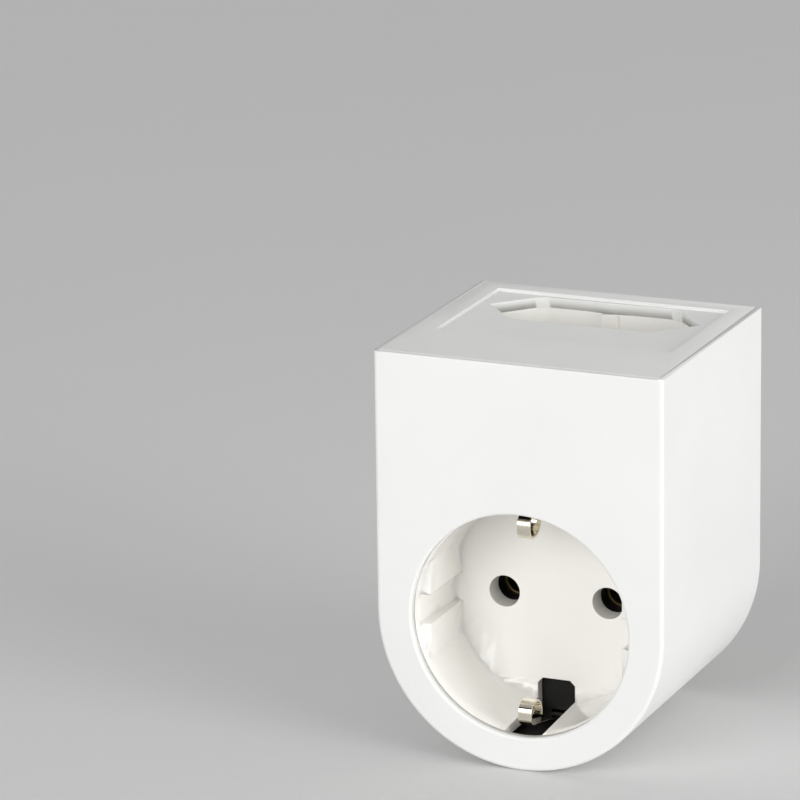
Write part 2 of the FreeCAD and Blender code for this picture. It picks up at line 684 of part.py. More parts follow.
def earth_clip(label, side):
    """Earth clip of bent strip: root, sloping strap and a D-shaped loop that stands into the socket."""
    body = new_body(label)
    sign = "1" if side == "top" else "-1"

    def level(depth_in):
        return f"socket_rise + {sign} * ( {depth_in} )"

    wall = "( well_radius - clip_proud )"
    loop_front = f"( {FRONT} + clip_front )"
    loop_back = f"( {loop_front} + clip_loop )"
    end = f"( {CARRIER_BACK} + 0.9 )"
    strap = [
        (loop_front, "clip_heel + clip_thick"),
        (loop_front, f"{wall} + 1.1"),
        (f"{loop_front} + 0.9", wall),
        (f"{loop_back} - 1.6", wall),
        (f"{loop_back} - 0.4", f"{wall} + 0.9"),
        (loop_back, f"clip_heel + 0.65"),
        (f"{loop_back} - clip_thick", f"clip_heel + 0.55"),
        (f"{loop_back} - 0.85", f"{wall} + 1.15"),
        (f"{loop_back} - 1.8", f"{wall} + clip_thick"),
        (f"{loop_front} + 1.1", f"{wall} + clip_thick"),
        (f"{loop_front} + clip_thick", f"{wall} + 1.3"),
        (f"{loop_front} + clip_thick", "clip_heel"),
        (f"{WELL_FLOOR} - 0.2", "clip_root"),
        (end, "clip_root"),
        (end, "clip_root + clip_thick"),
        (f"{WELL_FLOOR} - 0.3", "clip_root + clip_thick"),
    ]
    corners = [(across, level(up)) for across, up in strap]
    sketch = outline(body, "YZ_Plane", "strip_path", corners, "0")
    pad(body, sketch, "clip_half * 2", symmetric=True)
    return body


def earth_bridge():
    """Brass strap behind the contact carrier that joins both earth clips to the ground pin."""
    body = new_body("earth_bridge")
    back = f"( {CARRIER_BACK} + 0.1 )"
    block(body, "upright", ("- bridge_half", "bridge_half"), (back, f"{back} + strip"),
          ("socket_rise - clip_root + 0.1", "socket_rise + clip_root - 0.1"))
    under = "( - ground_drop - ground_neck )"
    block(body, "foot", ("- foot_half", "foot_half"), (back, "- blade_root + lug_length"),
          (f"{under} - strip", under))
    round_bar(body, "rivet_hole", ("0", "- blade_root + rivet_inset", "- ground_drop - 6"),
              "rivet_radius", "6", turn=NO_TURN, cut=True)
    return body


outer_sleeve()
rear_cover()
socket_well()
flat_well()
plug_face_disc()
ground_collar()
ground_pin()
contact_carrier()
flat_contact_holder()
blade_carrier()
for flank in SIDES:
    blade_collar(flank)
    blade(flank)
    socket_contact(flank)
    flat_contact(flank)
    busbar(flank)
earth_clip("earth_clip_top", "top")
earth_clip("earth_clip_bottom", "bottom")
earth_bridge()

flange_in = rear_face - size("cover_thick") - size("flange_thick")
carrier_back = front_face + size("well_depth") + size("well_floor") + 0.1 + size("carrier_floor")
flat_under = top_face - size("flat_depth") - size("flat_wall")
flat_y = front_face + size("flat_middle")
screw_radius = size("screw_radius") - 0.05
head_radius = size("head_radius") - 0.1
seats = []
for hand in (1, -1):
    seats.append(V(hand * size("post_across_upper"), flange_in - size("head_thick"), size("post_level")))
    seats.append(V(hand * size("post_across_lower"), flange_in - size("head_thick"), -size("post_level")))
screws("blade_carrier_screws", seats, screw_radius, size("screw_length"), head_radius,
       size("head_thick") - 0.1, V(0, 1, 0))
seats = [V(hand * size("ear_across"), carrier_back, size("ear_level")) for hand in (1, -1)]
screws("carrier_screws", seats, screw_radius, size("ear_screw_length"), head_radius, size("head_thick"),
       V(0, 1, 0))
holder_level = flat_under - size("holder_thick") - 0.1
seats = [V(hand * size("holder_across"), flat_y, holder_level) for hand in (1, -1)]
screws("holder_screws", seats, size("holder_pilot") - 0.05, size("holder_screw_length"), size("holder_head"),
       size("holder_head_thick"), V(0, 0, -1))
rivet_y = size("rivet_inset") - size("blade_root")
blade_middle = (size("blade_pitch") + size("strip")) / 2
middles = [V(hand * blade_middle, rivet_y, 0) for hand in (1, -1)]
rivets("blade_rivets", middles, size("blade_thick") + size("strip"), V(1, 0, 0))
middles = [V(0, rivet_y, -size("ground_drop") - size("strip") / 2)]
rivets("ground_rivet", middles, 2 * size("ground_neck") + size("strip"), V(0, 0, 1))

document.recompute()
for thing in document.Objects:
    if "Invalid" in thing.State or "Error" in thing.State:
        raise RuntimeError(f"{thing.Label} did not recompute: {thing.State}")
os.makedirs("parts", exist_ok=True)
for label, body in sorted(bodies.items()):
    shape = body.Shape
    if shape.isNull() or not shape.isValid():
        raise RuntimeError(f"{label} has no valid shape")
    shape.exportStep(f"parts/{label}.step")
    print(f"{label}: {len(shape.Solids)} solids, {shape.Volume:.1f} mm3")
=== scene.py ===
"""Looks of the travel plug adapter: pieces, finishes and studio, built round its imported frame.

Metres, +Z up, +Y into the wall, +X to the right of someone who faces the adapter.
"""

import json
import math

import bmesh
import bpy
from mathutils import Matrix, Vector


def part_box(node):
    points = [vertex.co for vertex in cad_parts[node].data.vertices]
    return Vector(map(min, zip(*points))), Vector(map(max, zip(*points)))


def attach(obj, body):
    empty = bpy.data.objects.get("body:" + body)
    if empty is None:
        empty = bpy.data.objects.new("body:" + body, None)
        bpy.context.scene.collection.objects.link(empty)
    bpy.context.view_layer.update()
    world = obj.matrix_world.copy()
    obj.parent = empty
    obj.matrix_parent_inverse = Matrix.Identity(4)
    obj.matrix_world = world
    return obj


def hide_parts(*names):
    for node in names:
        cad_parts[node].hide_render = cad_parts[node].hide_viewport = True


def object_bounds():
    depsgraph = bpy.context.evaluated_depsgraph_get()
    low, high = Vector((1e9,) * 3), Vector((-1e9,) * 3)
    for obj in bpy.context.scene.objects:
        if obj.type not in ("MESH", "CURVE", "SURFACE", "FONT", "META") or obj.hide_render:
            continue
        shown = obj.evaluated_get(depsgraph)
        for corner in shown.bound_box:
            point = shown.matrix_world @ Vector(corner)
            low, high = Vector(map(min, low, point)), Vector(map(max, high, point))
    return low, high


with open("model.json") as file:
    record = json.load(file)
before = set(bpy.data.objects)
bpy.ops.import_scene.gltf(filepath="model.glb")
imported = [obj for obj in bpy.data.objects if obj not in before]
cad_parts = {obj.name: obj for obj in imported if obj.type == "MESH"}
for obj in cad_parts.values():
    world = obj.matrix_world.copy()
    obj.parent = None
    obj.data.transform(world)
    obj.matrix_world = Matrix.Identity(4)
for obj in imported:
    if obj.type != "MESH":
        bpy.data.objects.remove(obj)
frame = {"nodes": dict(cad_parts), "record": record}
CAD_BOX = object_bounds()

bl_info = {
    "name": "Travel Plug Adapter",
    "version": (1, 0, 0),
    "blender": (4, 5, 0),
    "location": "3D View > Sidebar > Adapter",
    "description": "Builds the pieces, finishes and studio of a travel plug adapter",
    "category": "Add Mesh",
}

MM = 0.001
MERGE = 0.001 * MM
FLAT_ANGLE = math.radians(0.4)
SHARP_ANGLE = math.radians(28.0)
CREASE_ANGLE = math.radians(50.0)
FULL_TURN = 2 * math.pi

SLEEVE_LOW, SLEEVE_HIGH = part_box("outer_sleeve")
COVER_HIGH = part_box("rear_cover")[1]
MOUNTS = {mount["name"]: mount for mount in frame["record"]["mounts"]}
SOCKET_RISE = MOUNTS["socket_hole_live"]["pos_m"][2]
FLAT_REACH = 17.3 * MM
GROOVE_REACH = 4.0 * MM
SEAT_DEPTH = 2.45 * MM
SEAT_REACH = 20.5 * MM
TIP_CLEARANCE = 1.5 * MM
NEAR = 0.05 * MM
# Share of the brass colour that the contacts deep inside keep: painted shade.
BRASS_PAINTED_SHADE = 0.18
VIEW_MIDDLE = Vector((0.0, -28.24 * MM, 17.13 * MM))
LIGHT_MIDDLE = Vector((0.0, -20 * MM, 10 * MM))


# Settings that a user of the add-on may change.


def length(name, description, default):
    """A size in metres, shown in the scene's own unit."""
    return bpy.props.FloatProperty(
        name=name, description=description, default=default, min=0.0, unit="LENGTH", precision=5)


def colour(name, description, default):
    """A plain colour, linear red, green and blue."""
    return bpy.props.FloatVectorProperty(
        name=name, description=description, default=default, size=3, min=0.0, max=1.0, subtype="COLOR")


class HousingSettings(bpy.types.PropertyGroup):
    """Walls, edges and colours of the white shells."""
    wall: length("Wall", "Thickness of the sleeve's sides", 1.9 * MM)
    front_wall: length("Front wall", "Thickness of the sleeve's front", 1.7 * MM)
    lip: length("Lip", "Thickness of the sleeve's rim round the cover", 0.94 * MM)
    rebate: length("Rebate", "Depth of the step that takes the cover's edge", 2.5 * MM)
    mouth: length("Mouth", "Radius of the round opening", 19.7 * MM)
    mouth_round: length("Mouth rounding", "Rounding of the opening's edge", 0.5 * MM)
    edge_round: length("Front rounding", "Rounding of the sleeve's front edge", 0.7 * MM)
    lip_round: length("Lip rounding", "Rounding of the sleeve's top and rear edges", 0.2 * MM)
    flat_round: length("Flat rounding", "Rounding of the round socket's side flats", 0.3 * MM)
    guide_wall: length("Guide wall", "Wall of the round socket's pin guides", 0.3 * MM)
    # The pin guides' last stretch of this length is black: painted shade deep in the holes.
    guide_shade_depth: length("Black guide", "Length of the pin guides' black ends", 2.9 * MM)
    recess_round: length("Recess rounding", "Rounding of the flat recess's upright corners", 1.6 * MM)
    soft_edge: length("Soft edge", "Rounding of the edges that the mould leaves nearly sharp", 0.12 * MM)
    shell_white: colour("Shell white", "Main colour of the outer shells", (0.86, 0.862, 0.845))
    shell_shade: colour("Shell shade", "Colour that the shell drifts to", (0.835, 0.84, 0.825))
    # The socket colours are a cream raised brighter and warmer than the shell's: painted bounce light inside
    # the recesses.
    socket_cream: colour("Socket cream", "Main colour of the socket recesses", (0.94, 0.925, 0.885))
    socket_drift_and_bounce: colour("Socket shade", "Colour that the recesses drift to", (0.92, 0.905, 0.865))
    collar_grey: colour("Collar grey", "Main colour of the moulded collars", (0.76, 0.765, 0.755))
    collar_shade: colour("Collar shade", "Colour that the collars drift to", (0.73, 0.735, 0.725))


class PlugSettings(bpy.types.PropertyGroup):
    """Collars, blades and ground pin."""
    collar_corner: length("Collar corner", "Corner radius of a blade's collar", 0.4 * MM)
    collar_edge: length("Collar edge", "Rounding of a collar's rim", 0.15 * MM)
    blade_tip: length("Blade tip", "Length of the rounding at a blade's tip", 1.2 * MM)
    blade_edge: length("Blade edge", "Rounding of a blade's long edges", 0.14 * MM)
    pin_chamfer: length("Pin chamfer", "Chamfer at the ground pin's root", 0.25 * MM)
    neck: length("Pin neck", "Radius of the ground pin inside its collar", 2.2 * MM)
    neck_reach: length("Neck reach", "How far the neck stands out of the collar", 0.3 * MM)
    nickel: colour("Nickel", "Colour of the plug's plating", (0.66, 0.64, 0.60))
    nickel_worn: colour("Worn nickel", "Plating where it has been rubbed", (0.80, 0.74, 0.62))


class ClipSettings(bpy.types.PropertyGroup):
    """Earth clips of bent strip."""
    strip: length("Strip", "Thickness of the strip", 0.45 * MM)
    edge: length("Strip edge", "Rounding of the strip's edges", 0.08 * MM)
    loop_depth: length("Loop depth", "Depth of the D-shaped loop", 5.4 * MM)
    heel: length("Heel", "How far the loop's foot lies above the root", 3.4 * MM)
    tail: length("Tail", "Length of the flat tail behind the slope", 5.2 * MM)
    slope_bend: length("Slope bend", "Radius between the tail and the slope", 1.2 * MM)
    heel_bend: length("Heel bend", "Radius where the slope turns into the loop", 1.6 * MM)
    front_bend: length("Front bend", "Radius of the loop's front corner", 1.8 * MM)
    back_bend: length("Back bend", "Radius of the loop's rear corner", 2.6 * MM)
    loop_gap: length("Loop gap", "From the loop's end to the slope", 0.35 * MM)
    plating: colour("Plating", "Colour of the clip's plating", (0.80, 0.75, 0.64))
    plating_worn: colour("Worn plating", "Plating on the rubbed edges", (0.86, 0.80, 0.66))


class InsideSettings(bpy.types.PropertyGroup):
    """Contacts and fasteners inside the housing."""
    contact_wall: length("Contact wall", "Wall of a round-socket sleeve", 0.75 * MM)
    flat_contact_wall: length("Flat contact wall", "Wall of a flat-socket sleeve", 1.1 * MM)
    contact_slit: length("Contact slit", "Slit along a contact sleeve", 0.6 * MM)
    recess: length("Recess", "Width of the cross recess in a screw's head", 0.6 * MM)
    rivet_round: length("Rivet rounding", "Rounding of a rivet's heads", 0.25 * MM)
    brass: colour("Brass", "Colour of the contacts", (0.72, 0.52, 0.24))
    brass_worn: colour("Tarnished brass", "Brass where it has darkened", (0.44, 0.30, 0.14))
    nylon: colour("Nylon", "Colour of the dark mouldings", (0.012, 0.012, 0.013))
    nylon_shade: colour("Nylon shade", "Colour that the nylon drifts to", (0.02, 0.019, 0.018))
    steel: colour("Steel", "Colour of the screws", (0.50, 0.50, 0.51))
    steel_worn: colour("Worn steel", "Steel on the screws' edges", (0.66, 0.65, 0.63))


class StudioSettings(bpy.types.PropertyGroup):
    """Camera, floor and lights."""
    azimuth: bpy.props.FloatProperty(
        name="Azimuth", description="Camera's turn round the object, towards +X",
        default=math.radians(23.484), unit="ROTATION")
    elevation: bpy.props.FloatProperty(
        name="Elevation", description="Camera's height above the horizon",
        default=math.radians(16.315), unit="ROTATION")
    roll: bpy.props.FloatProperty(
        name="Roll", description="Camera's turn about its own line of sight",
        default=math.radians(-0.816), unit="ROTATION")
    distance: length("Distance", "From the camera to the object's middle", 0.90516)
    aside: bpy.props.FloatVectorProperty(
        name="Aside", description="How far the view's middle lies beside and above the object's middle",
        default=(-27.828 * MM, 18.249 * MM), size=2, unit="LENGTH")
    lens: bpy.props.FloatProperty(
        name="Lens", description="Focal length in millimetres on a 36 mm sensor", default=237.93)
    floor_reach: length("Floor reach", "Radius of the floor", 4.0)
    paper: colour("Paper", "Main colour of the floor", (0.77, 0.77, 0.77))
    paper_shade: colour("Paper shade", "Colour that the floor drifts to", (0.75, 0.75, 0.75))
    sky: bpy.props.FloatProperty(
        name="Sky", description="Brightness of the studio's walls", default=0.41)


# Node trees: small helpers, then the effects that several finishes share.


def place(tree, kind, sockets=None, **settings):
    """Add a node, set its options, and fill its inputs with values or with other nodes' outputs."""
    made = tree.nodes.new(kind)
    for key, value in settings.items():
        setattr(made, key, value)
    for key, value in (sockets or {}).items():
        if isinstance(value, bpy.types.NodeSocket):
            tree.links.new(value, made.inputs[key])
        else:
            made.inputs[key].default_value = value
    return made


def new_group(name, kind, inputs, outputs):
    """Start a node group with named sockets; gives the tree, its input node and its output node."""
    tree = bpy.data.node_groups.new(name, kind)
    for in_out, sockets in (("INPUT", inputs), ("OUTPUT", outputs)):
        for label, (socket_type, default) in sockets.items():
            socket = tree.interface.new_socket(label, in_out=in_out, socket_type=f"NodeSocket{socket_type}")
            if default is not None:
                socket.default_value = default
    return tree, tree.nodes.new("NodeGroupInput"), tree.nodes.new("NodeGroupOutput")


def join(tree, output, **sockets):
    """Link sockets to the inputs of the group's output node; underscores stand for spaces."""
    for label, socket in sockets.items():
        tree.links.new(socket, output.inputs[label.replace("_", " ")])


def sums(tree, operation, *values):
    """A math node's result."""
    return place(tree, "ShaderNodeMath", dict(enumerate(values)), operation=operation).outputs[0]


def noise(tree, vector, scale, detail=3.0, rough=0.5):
    """Value of a noise texture at a vector."""
    made = place(tree, "ShaderNodeTexNoise",
                 {"Vector": vector, "Scale": scale, "Detail": detail, "Roughness": rough})
    return made.outputs["Fac"]


def mix_colours(tree, share, first, second):
    """One colour faded into another."""
    made = place(tree, "ShaderNodeMix", data_type="RGBA")
    for socket, value in zip((made.inputs[0], made.inputs[6], made.inputs[7]), (share, first, second)):
        if isinstance(value, bpy.types.NodeSocket):
            tree.links.new(value, socket)
        else:
            socket.default_value = value
    return made.outputs[2]


def spread(tree, value, low, high, to_low, to_high):
    """A value's range mapped to another range, and held inside it."""
    return place(tree, "ShaderNodeMapRange", {0: value, 1: low, 2: high, 3: to_low, 4: to_high}).outputs[0]


def moulded_plastic_group():
    """Colour drift, sheen drift and fine mould grain of an injection-moulded surface."""
    tree, inlet, outlet = new_group(
        "moulded_plastic", "ShaderNodeTree",
        {"Main": ("Color", (0.8, 0.8, 0.8, 1)), "Shade": ("Color", (0.75, 0.75, 0.75, 1)),
         "Smooth": ("Float", 0.25), "Rough": ("Float", 0.35), "Grain": ("Float", 0.5)},
        {"Colour": ("Color", None), "Roughness": ("Float", None), "Height": ("Float", None)})
    spot = place(tree, "ShaderNodeTexCoord").outputs["Object"]
    drift = spread(tree, noise(tree, spot, 45.0, 4.0), 0.35, 0.65, 0.0, 1.0)
    speck = spread(tree, noise(tree, spot, 5200.0, 1.0), 0.66, 0.74, 0.0, 0.35)
    base = mix_colours(tree, drift, inlet.outputs["Main"], inlet.outputs["Shade"])
    base = mix_colours(tree, speck, base, inlet.outputs["Shade"])
    handled = spread(tree, noise(tree, spot, 190.0, 5.0, 0.6), 0.40, 0.64, 0.0, 1.0)
    fine = noise(tree, spot, 3800.0, 2.0)
    blend = place(tree, "ShaderNodeMix", {0: handled, 2: inlet.outputs["Smooth"], 3: inlet.outputs["Rough"]})
    gloss = sums(tree, "ADD", blend.outputs[0], spread(tree, fine, 0.3, 0.7, -0.02, 0.02))
    wave = sums(tree, "MULTIPLY", noise(tree, spot, 130.0, 2.0), 0.55)
    grain = sums(tree, "MULTIPLY", fine, inlet.outputs["Grain"])
    join(tree, outlet, Colour=base, Roughness=gloss, Height=sums(tree, "ADD", wave, grain))
    return tree


def edge_wear_group():
    """Mask of the outer edges, broken up, from how far a rounded normal leaves the true one."""
    tree, inlet, outlet = new_group(
        "edge_wear", "ShaderNodeTree",
        {"Reach": ("Float", 0.3 * MM), "Amount": ("Float", 0.6)}, {"Mask": ("Float", None)})
    rounded = place(tree, "ShaderNodeBevel", {"Radius": inlet.outputs["Reach"]}, samples=4)
    geometry = place(tree, "ShaderNodeNewGeometry")
    likeness = place(tree, "ShaderNodeVectorMath",
                     {0: rounded.outputs[0], 1: geometry.outputs["Normal"]}, operation="DOT_PRODUCT")
    edge = spread(tree, likeness.outputs["Value"], 0.995, 0.86, 0.0, 1.0)
    spot = place(tree, "ShaderNodeTexCoord").outputs["Object"]
    patches = spread(tree, noise(tree, spot, 420.0, 5.0, 0.65), 0.38, 0.62, 0.15, 1.0)
    mask = sums(tree, "MULTIPLY", sums(tree, "MULTIPLY", edge, patches), inlet.outputs["Amount"])
    join(tree, outlet, Mask=mask)
    return tree


def corner_shade_and_dust_group():
    """Mask of inner corners and seams from ambient occlusion, where painted shade with a dusty tint darkens
    the surface.
    """
    tree, inlet, outlet = new_group(
        "corner_dust", "ShaderNodeTree",
        {"Reach": ("Float", 1.2 * MM), "Amount": ("Float", 0.3)}, {"Mask": ("Float", None)})
    hollow = place(tree, "ShaderNodeAmbientOcclusion", {"Distance": inlet.outputs["Reach"]}, samples=6)
    corner = spread(tree, hollow.outputs["AO"], 0.75, 0.30, 0.0, 1.0)
    spot = place(tree, "ShaderNodeTexCoord").outputs["Object"]
    patches = spread(tree, noise(tree, spot, 900.0, 4.0), 0.40, 0.60, 0.3, 1.0)
    mask = sums(tree, "MULTIPLY", sums(tree, "MULTIPLY", corner, patches), inlet.outputs["Amount"])
    join(tree, outlet, Mask=mask)
    return tree


def drawn_metal_group():
    """Fine lines along the drawing direction, tarnish and small pits of plated or rolled metal."""
    tree, inlet, outlet = new_group(
        "drawn_metal", "ShaderNodeTree",
        {"Main": ("Color", (0.7, 0.7, 0.7, 1)), "Worn": ("Color", (0.8, 0.8, 0.8, 1)),
         "Smooth": ("Float", 0.08), "Rough": ("Float", 0.25), "Stretch": ("Vector", (1.0, 1.0, 1.0))},
        {"Colour": ("Color", None), "Roughness": ("Float", None), "Height": ("Float", None)})
    spot = place(tree, "ShaderNodeTexCoord").outputs["Object"]
    along = place(tree, "ShaderNodeVectorMath", {0: spot, 1: inlet.outputs["Stretch"]}, operation="MULTIPLY")
    lines = noise(tree, along.outputs[0], 5200.0, 3.0, 0.6)
    stain = spread(tree, noise(tree, spot, 380.0, 5.0, 0.6), 0.42, 0.62, 0.0, 1.0)
    pits = spread(tree, noise(tree, spot, 2600.0, 2.0), 0.64, 0.74, 0.0, 1.0)
    base = mix_colours(tree, sums(tree, "MULTIPLY", stain, 0.6), inlet.outputs["Main"], inlet.outputs["Worn"])
    blend = place(tree, "ShaderNodeMix", {0: stain, 2: inlet.outputs["Smooth"], 3: inlet.outputs["Rough"]})
    gloss = sums(tree, "ADD", blend.outputs[0], spread(tree, lines, 0.3, 0.7, -0.03, 0.03))
    height = sums(tree, "SUBTRACT", lines, sums(tree, "MULTIPLY", pits, 0.4))
    join(tree, outlet, Colour=base, Roughness=gloss, Height=height)
    return tree


def use_group(tree, group, **sockets):
    """Place a shared effect in a material with this material's own values."""
    made = place(tree, "ShaderNodeGroup", node_tree=group)
    for label, value in sockets.items():
        made.inputs[label].default_value = value
    return made


def solid_colour(rgb):
    """A colour setting with its alpha."""
    return (*rgb, 1.0)


def start_material(name, bump, **shader):
    """A material with its Principled shader and the bump node that feeds its normal."""
    made = bpy.data.materials.new(name)
    made.use_nodes = True
    tree = made.node_tree
    surface = tree.nodes["Principled BSDF"]
    for label, value in shader.items():
        surface.inputs[label.replace("_", " ")].default_value = value
    relief = place(tree, "ShaderNodeBump", {"Distance": bump, "Strength": 1.0})
    tree.links.new(relief.outputs[0], surface.inputs["Normal"])
    return made, tree, surface, relief


def plastic(name, main, shade, smooth, rough, grain, bump, shade_and_dust, **shader):
    """Moulded plastic with grain, rubbed edges, and painted shade with a dusty tint in its corners."""
    made, tree, surface, relief = start_material(name, bump, **shader)
    skin = use_group(tree, bpy.data.node_groups["moulded_plastic"], Main=solid_colour(main),
                     Shade=solid_colour(shade), Smooth=smooth, Rough=rough, Grain=grain)
    wear = use_group(tree, bpy.data.node_groups["edge_wear"], Reach=0.25 * MM, Amount=0.5)
    # Painted shade: corners found by ambient occlusion are darkened towards a dusty tint.
    shaded_corners = use_group(tree, bpy.data.node_groups["corner_dust"], Reach=1.0 * MM, Amount=shade_and_dust)
    rubbed = solid_colour([min(1.0, part * 1.04) for part in main])
    dusty_shade = solid_colour([part * tint for part, tint in zip(shade, (0.62, 0.58, 0.50))])
    base = mix_colours(tree, wear.outputs["Mask"], skin.outputs["Colour"], rubbed)
    base = mix_colours(tree, shaded_corners.outputs["Mask"], base, dusty_shade)
    gloss = sums(tree, "ADD", skin.outputs["Roughness"], sums(tree, "MULTIPLY", wear.outputs["Mask"], -0.08))
    tree.links.new(base, surface.inputs["Base Color"])
    tree.links.new(gloss, surface.inputs["Roughness"])
    tree.links.new(skin.outputs["Height"], relief.inputs["Height"])
    return made


def metal(name, main, worn, smooth, rough, stretch, bump, **shader):
    """Plated or rolled metal with drawing lines, tarnish and rubbed edges."""
    made, tree, surface, relief = start_material(name, bump, Metallic=1.0, **shader)
    skin = use_group(tree, bpy.data.node_groups["drawn_metal"], Main=solid_colour(main),
                     Worn=solid_colour(worn), Smooth=smooth, Rough=rough, Stretch=stretch)
    wear = use_group(tree, bpy.data.node_groups["edge_wear"], Reach=0.15 * MM, Amount=0.7)
    base = mix_colours(tree, wear.outputs["Mask"], skin.outputs["Colour"], solid_colour(worn))
    gloss = sums(tree, "ADD", skin.outputs["Roughness"], sums(tree, "MULTIPLY", wear.outputs["Mask"], 0.06))
    tree.links.new(base, surface.inputs["Base Color"])
    tree.links.new(gloss, surface.inputs["Roughness"])
    tree.links.new(skin.outputs["Height"], relief.inputs["Height"])
    return made


# Shapes.


def merged_copy(node):
    """A CAD node's shape as one connected solid, with each flat face in one piece."""
    solid = bmesh.new()
    solid.from_mesh(frame["nodes"][node].data)
    bmesh.ops.remove_doubles(solid, verts=solid.verts, dist=MERGE)
    bmesh.ops.dissolve_limit(solid, angle_limit=FLAT_ANGLE, verts=solid.verts, edges=solid.edges)
    split_large(solid)
    return solid


def split_large(solid):
    """Cut faces with many corners into triangles, so that one that runs round a hole stays open."""
    large = [face for face in solid.faces if len(face.verts) > 4]
    bmesh.ops.triangulate(solid, faces=large)


def soften(solid, width, chosen=None, steps=3):
    """Round the edges that are still sharp, or those of them that a test picks."""
    edges = [edge for edge in solid.edges if len(edge.link_faces) == 2
             and edge.calc_face_angle(0.0) > SHARP_ANGLE and (chosen is None or chosen(edge))]
    bmesh.ops.bevel(solid, geom=edges, offset=width, segments=steps, profile=0.5, affect="EDGES",
                    clamp_overlap=False)
    bmesh.ops.remove_doubles(solid, verts=solid.verts, dist=MERGE)
    bmesh.ops.dissolve_degenerate(solid, edges=solid.edges, dist=MERGE)


def object_from(solid, name):
    """Turn a solid into a smooth-shaded object whose large faces stay flat."""
    mesh = bpy.data.meshes.new(name)
    solid.to_mesh(mesh)
    solid.free()
    return object_of_mesh(mesh, name)


def object_of_mesh(mesh, name):
    """Link a mesh as an object, with smooth shading weighted by face size."""
    mesh.name = name
    mesh.shade_smooth()
    mesh.set_sharp_from_angle(angle=CREASE_ANGLE)
    made = bpy.data.objects.new(name, mesh)
    bpy.context.scene.collection.objects.link(made)
    weighting = made.modifiers.new("face_weights", "WEIGHTED_NORMAL")
    weighting.keep_sharp = True
    return made


def soft_copy(node, name, width):
    """The CAD shape of one node with its sharp edges rounded."""
    solid = merged_copy(node)
    soften(solid, width)
    return object_from(solid, name)


def middle_of(edge):
    """The middle point of an edge."""
    return (edge.verts[0].co + edge.verts[1].co) / 2


def stands(edge):
    """Whether an edge runs straight up and is not a mere sliver."""
    run = edge.verts[1].co - edge.verts[0].co
    return abs(run.z) > 1.2 * MM and math.hypot(run.x, run.y) < 0.02 * MM


def islands(node):
    """Low and high corners of each separate solid of a CAD node."""
    solid = merged_copy(node)
    waiting = set(solid.verts)
    found = []
    while waiting:
        stack, island = [waiting.pop()], []
        while stack:
            vert = stack.pop()
            island.append(vert.co.copy())
            for edge in vert.link_edges:
                other = edge.other_vert(vert)
                if other in waiting:
                    waiting.remove(other)
                    stack.append(other)
        found.append((Vector([min(spot[axis] for spot in island) for axis in range(3)]),
                      Vector([max(spot[axis] for spot in island) for axis in range(3)])))
    solid.free()
    return sorted(found, key=lambda corners: tuple(corners[0]))


def in_recess(edge):
    """Whether an edge is an upright corner of the flat recess, its key rib and its two tips left out."""
    low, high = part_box("flat_well")
    spot = middle_of(edge)
    beside_rib, above_floor = 5 * MM, low.z + 3 * MM
    within = low.y < spot.y < high.y and beside_rib < abs(spot.x) < high.x - TIP_CLEARANCE
    return stands(edge) and within and spot.z > above_floor


def cut_away(target, low, high):
    """Take a box between two corners away from an object, and give its new solid."""
    cutter = bmesh.new()
    bmesh.ops.create_cube(cutter, size=1.0)
    bmesh.ops.scale(cutter, vec=high - low, verts=cutter.verts)
    bmesh.ops.translate(cutter, vec=(low + high) / 2, verts=cutter.verts)
    block = object_from(cutter, "cutter")
    target.modifiers.clear()
    cut = target.modifiers.new("cut", "BOOLEAN")
    cut.object, cut.operation, cut.solver = block, "DIFFERENCE", "EXACT"
    bpy.context.view_layer.update()
    solid = bmesh.new()
    solid.from_object(target, bpy.context.evaluated_depsgraph_get())
    for spent in (target, block):
        bpy.data.objects.remove(spent)
    bmesh.ops.remove_doubles(solid, verts=solid.verts, dist=MERGE)
    bmesh.ops.dissolve_limit(solid, angle_limit=FLAT_ANGLE, verts=solid.verts, edges=solid.edges)
    split_large(solid)
    return solid


def skin(loops, joined=False):
    """Bridge loops that match point by point; the ends are capped, or joined into a ring."""
    solid = bmesh.new()
    rings = [[solid.verts.new(point) for point in loop] for loop in loops]
    following = rings[1:] + rings[:1] if joined else rings[1:]
    for ring, other in zip(rings, following):
        for index in range(len(ring)):
            after = (index + 1) % len(ring)
            solid.faces.new((ring[index], ring[after], other[after], other[index]))
    if not joined:
        solid.faces.new(rings[0])
        solid.faces.new(rings[-1])
    bmesh.ops.remove_doubles(solid, verts=solid.verts, dist=MERGE)
    bmesh.ops.dissolve_degenerate(solid, edges=solid.edges, dist=MERGE)
    bmesh.ops.recalc_face_normals(solid, faces=solid.faces)
    return solid


def arc_steps(steps):
    """Angles of a quarter turn, ends included."""
    return [math.pi / 2 * step / steps for step in range(steps + 1)]


def rounded_rectangle(centre, half_wide, half_high, corner, depth, steps=6):
    """Points round a rectangle in an XZ plane, with rounded corners."""
    points = []
    for quarter, (side, up) in enumerate(((1, 1), (-1, 1), (-1, -1), (1, -1))):
        middle_x = centre[0] + side * (half_wide - corner)
        middle_z = centre[1] + up * (half_high - corner)
        for angle in arc_steps(steps):
            turn = angle + quarter * math.pi / 2
            points.append((middle_x + corner * math.cos(turn), depth, middle_z + corner * math.sin(turn)))
    return points


def circle(centre, radius, depth, count=72):
    """Points round a circle in an XZ plane."""
    return [(centre[0] + radius * math.cos(FULL_TURN * step / count), depth,
             centre[1] + radius * math.sin(FULL_TURN * step / count)) for step in range(count)]


def dress(made, material, slot, body, *nodes):
    """Give a finished piece its material, its body and the CAD nodes that it stands for; the slot is not
    used.
    """
    made.data.materials.clear()
    made.data.materials.append(bpy.data.materials[material])
    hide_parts(*nodes)
    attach(made, body)


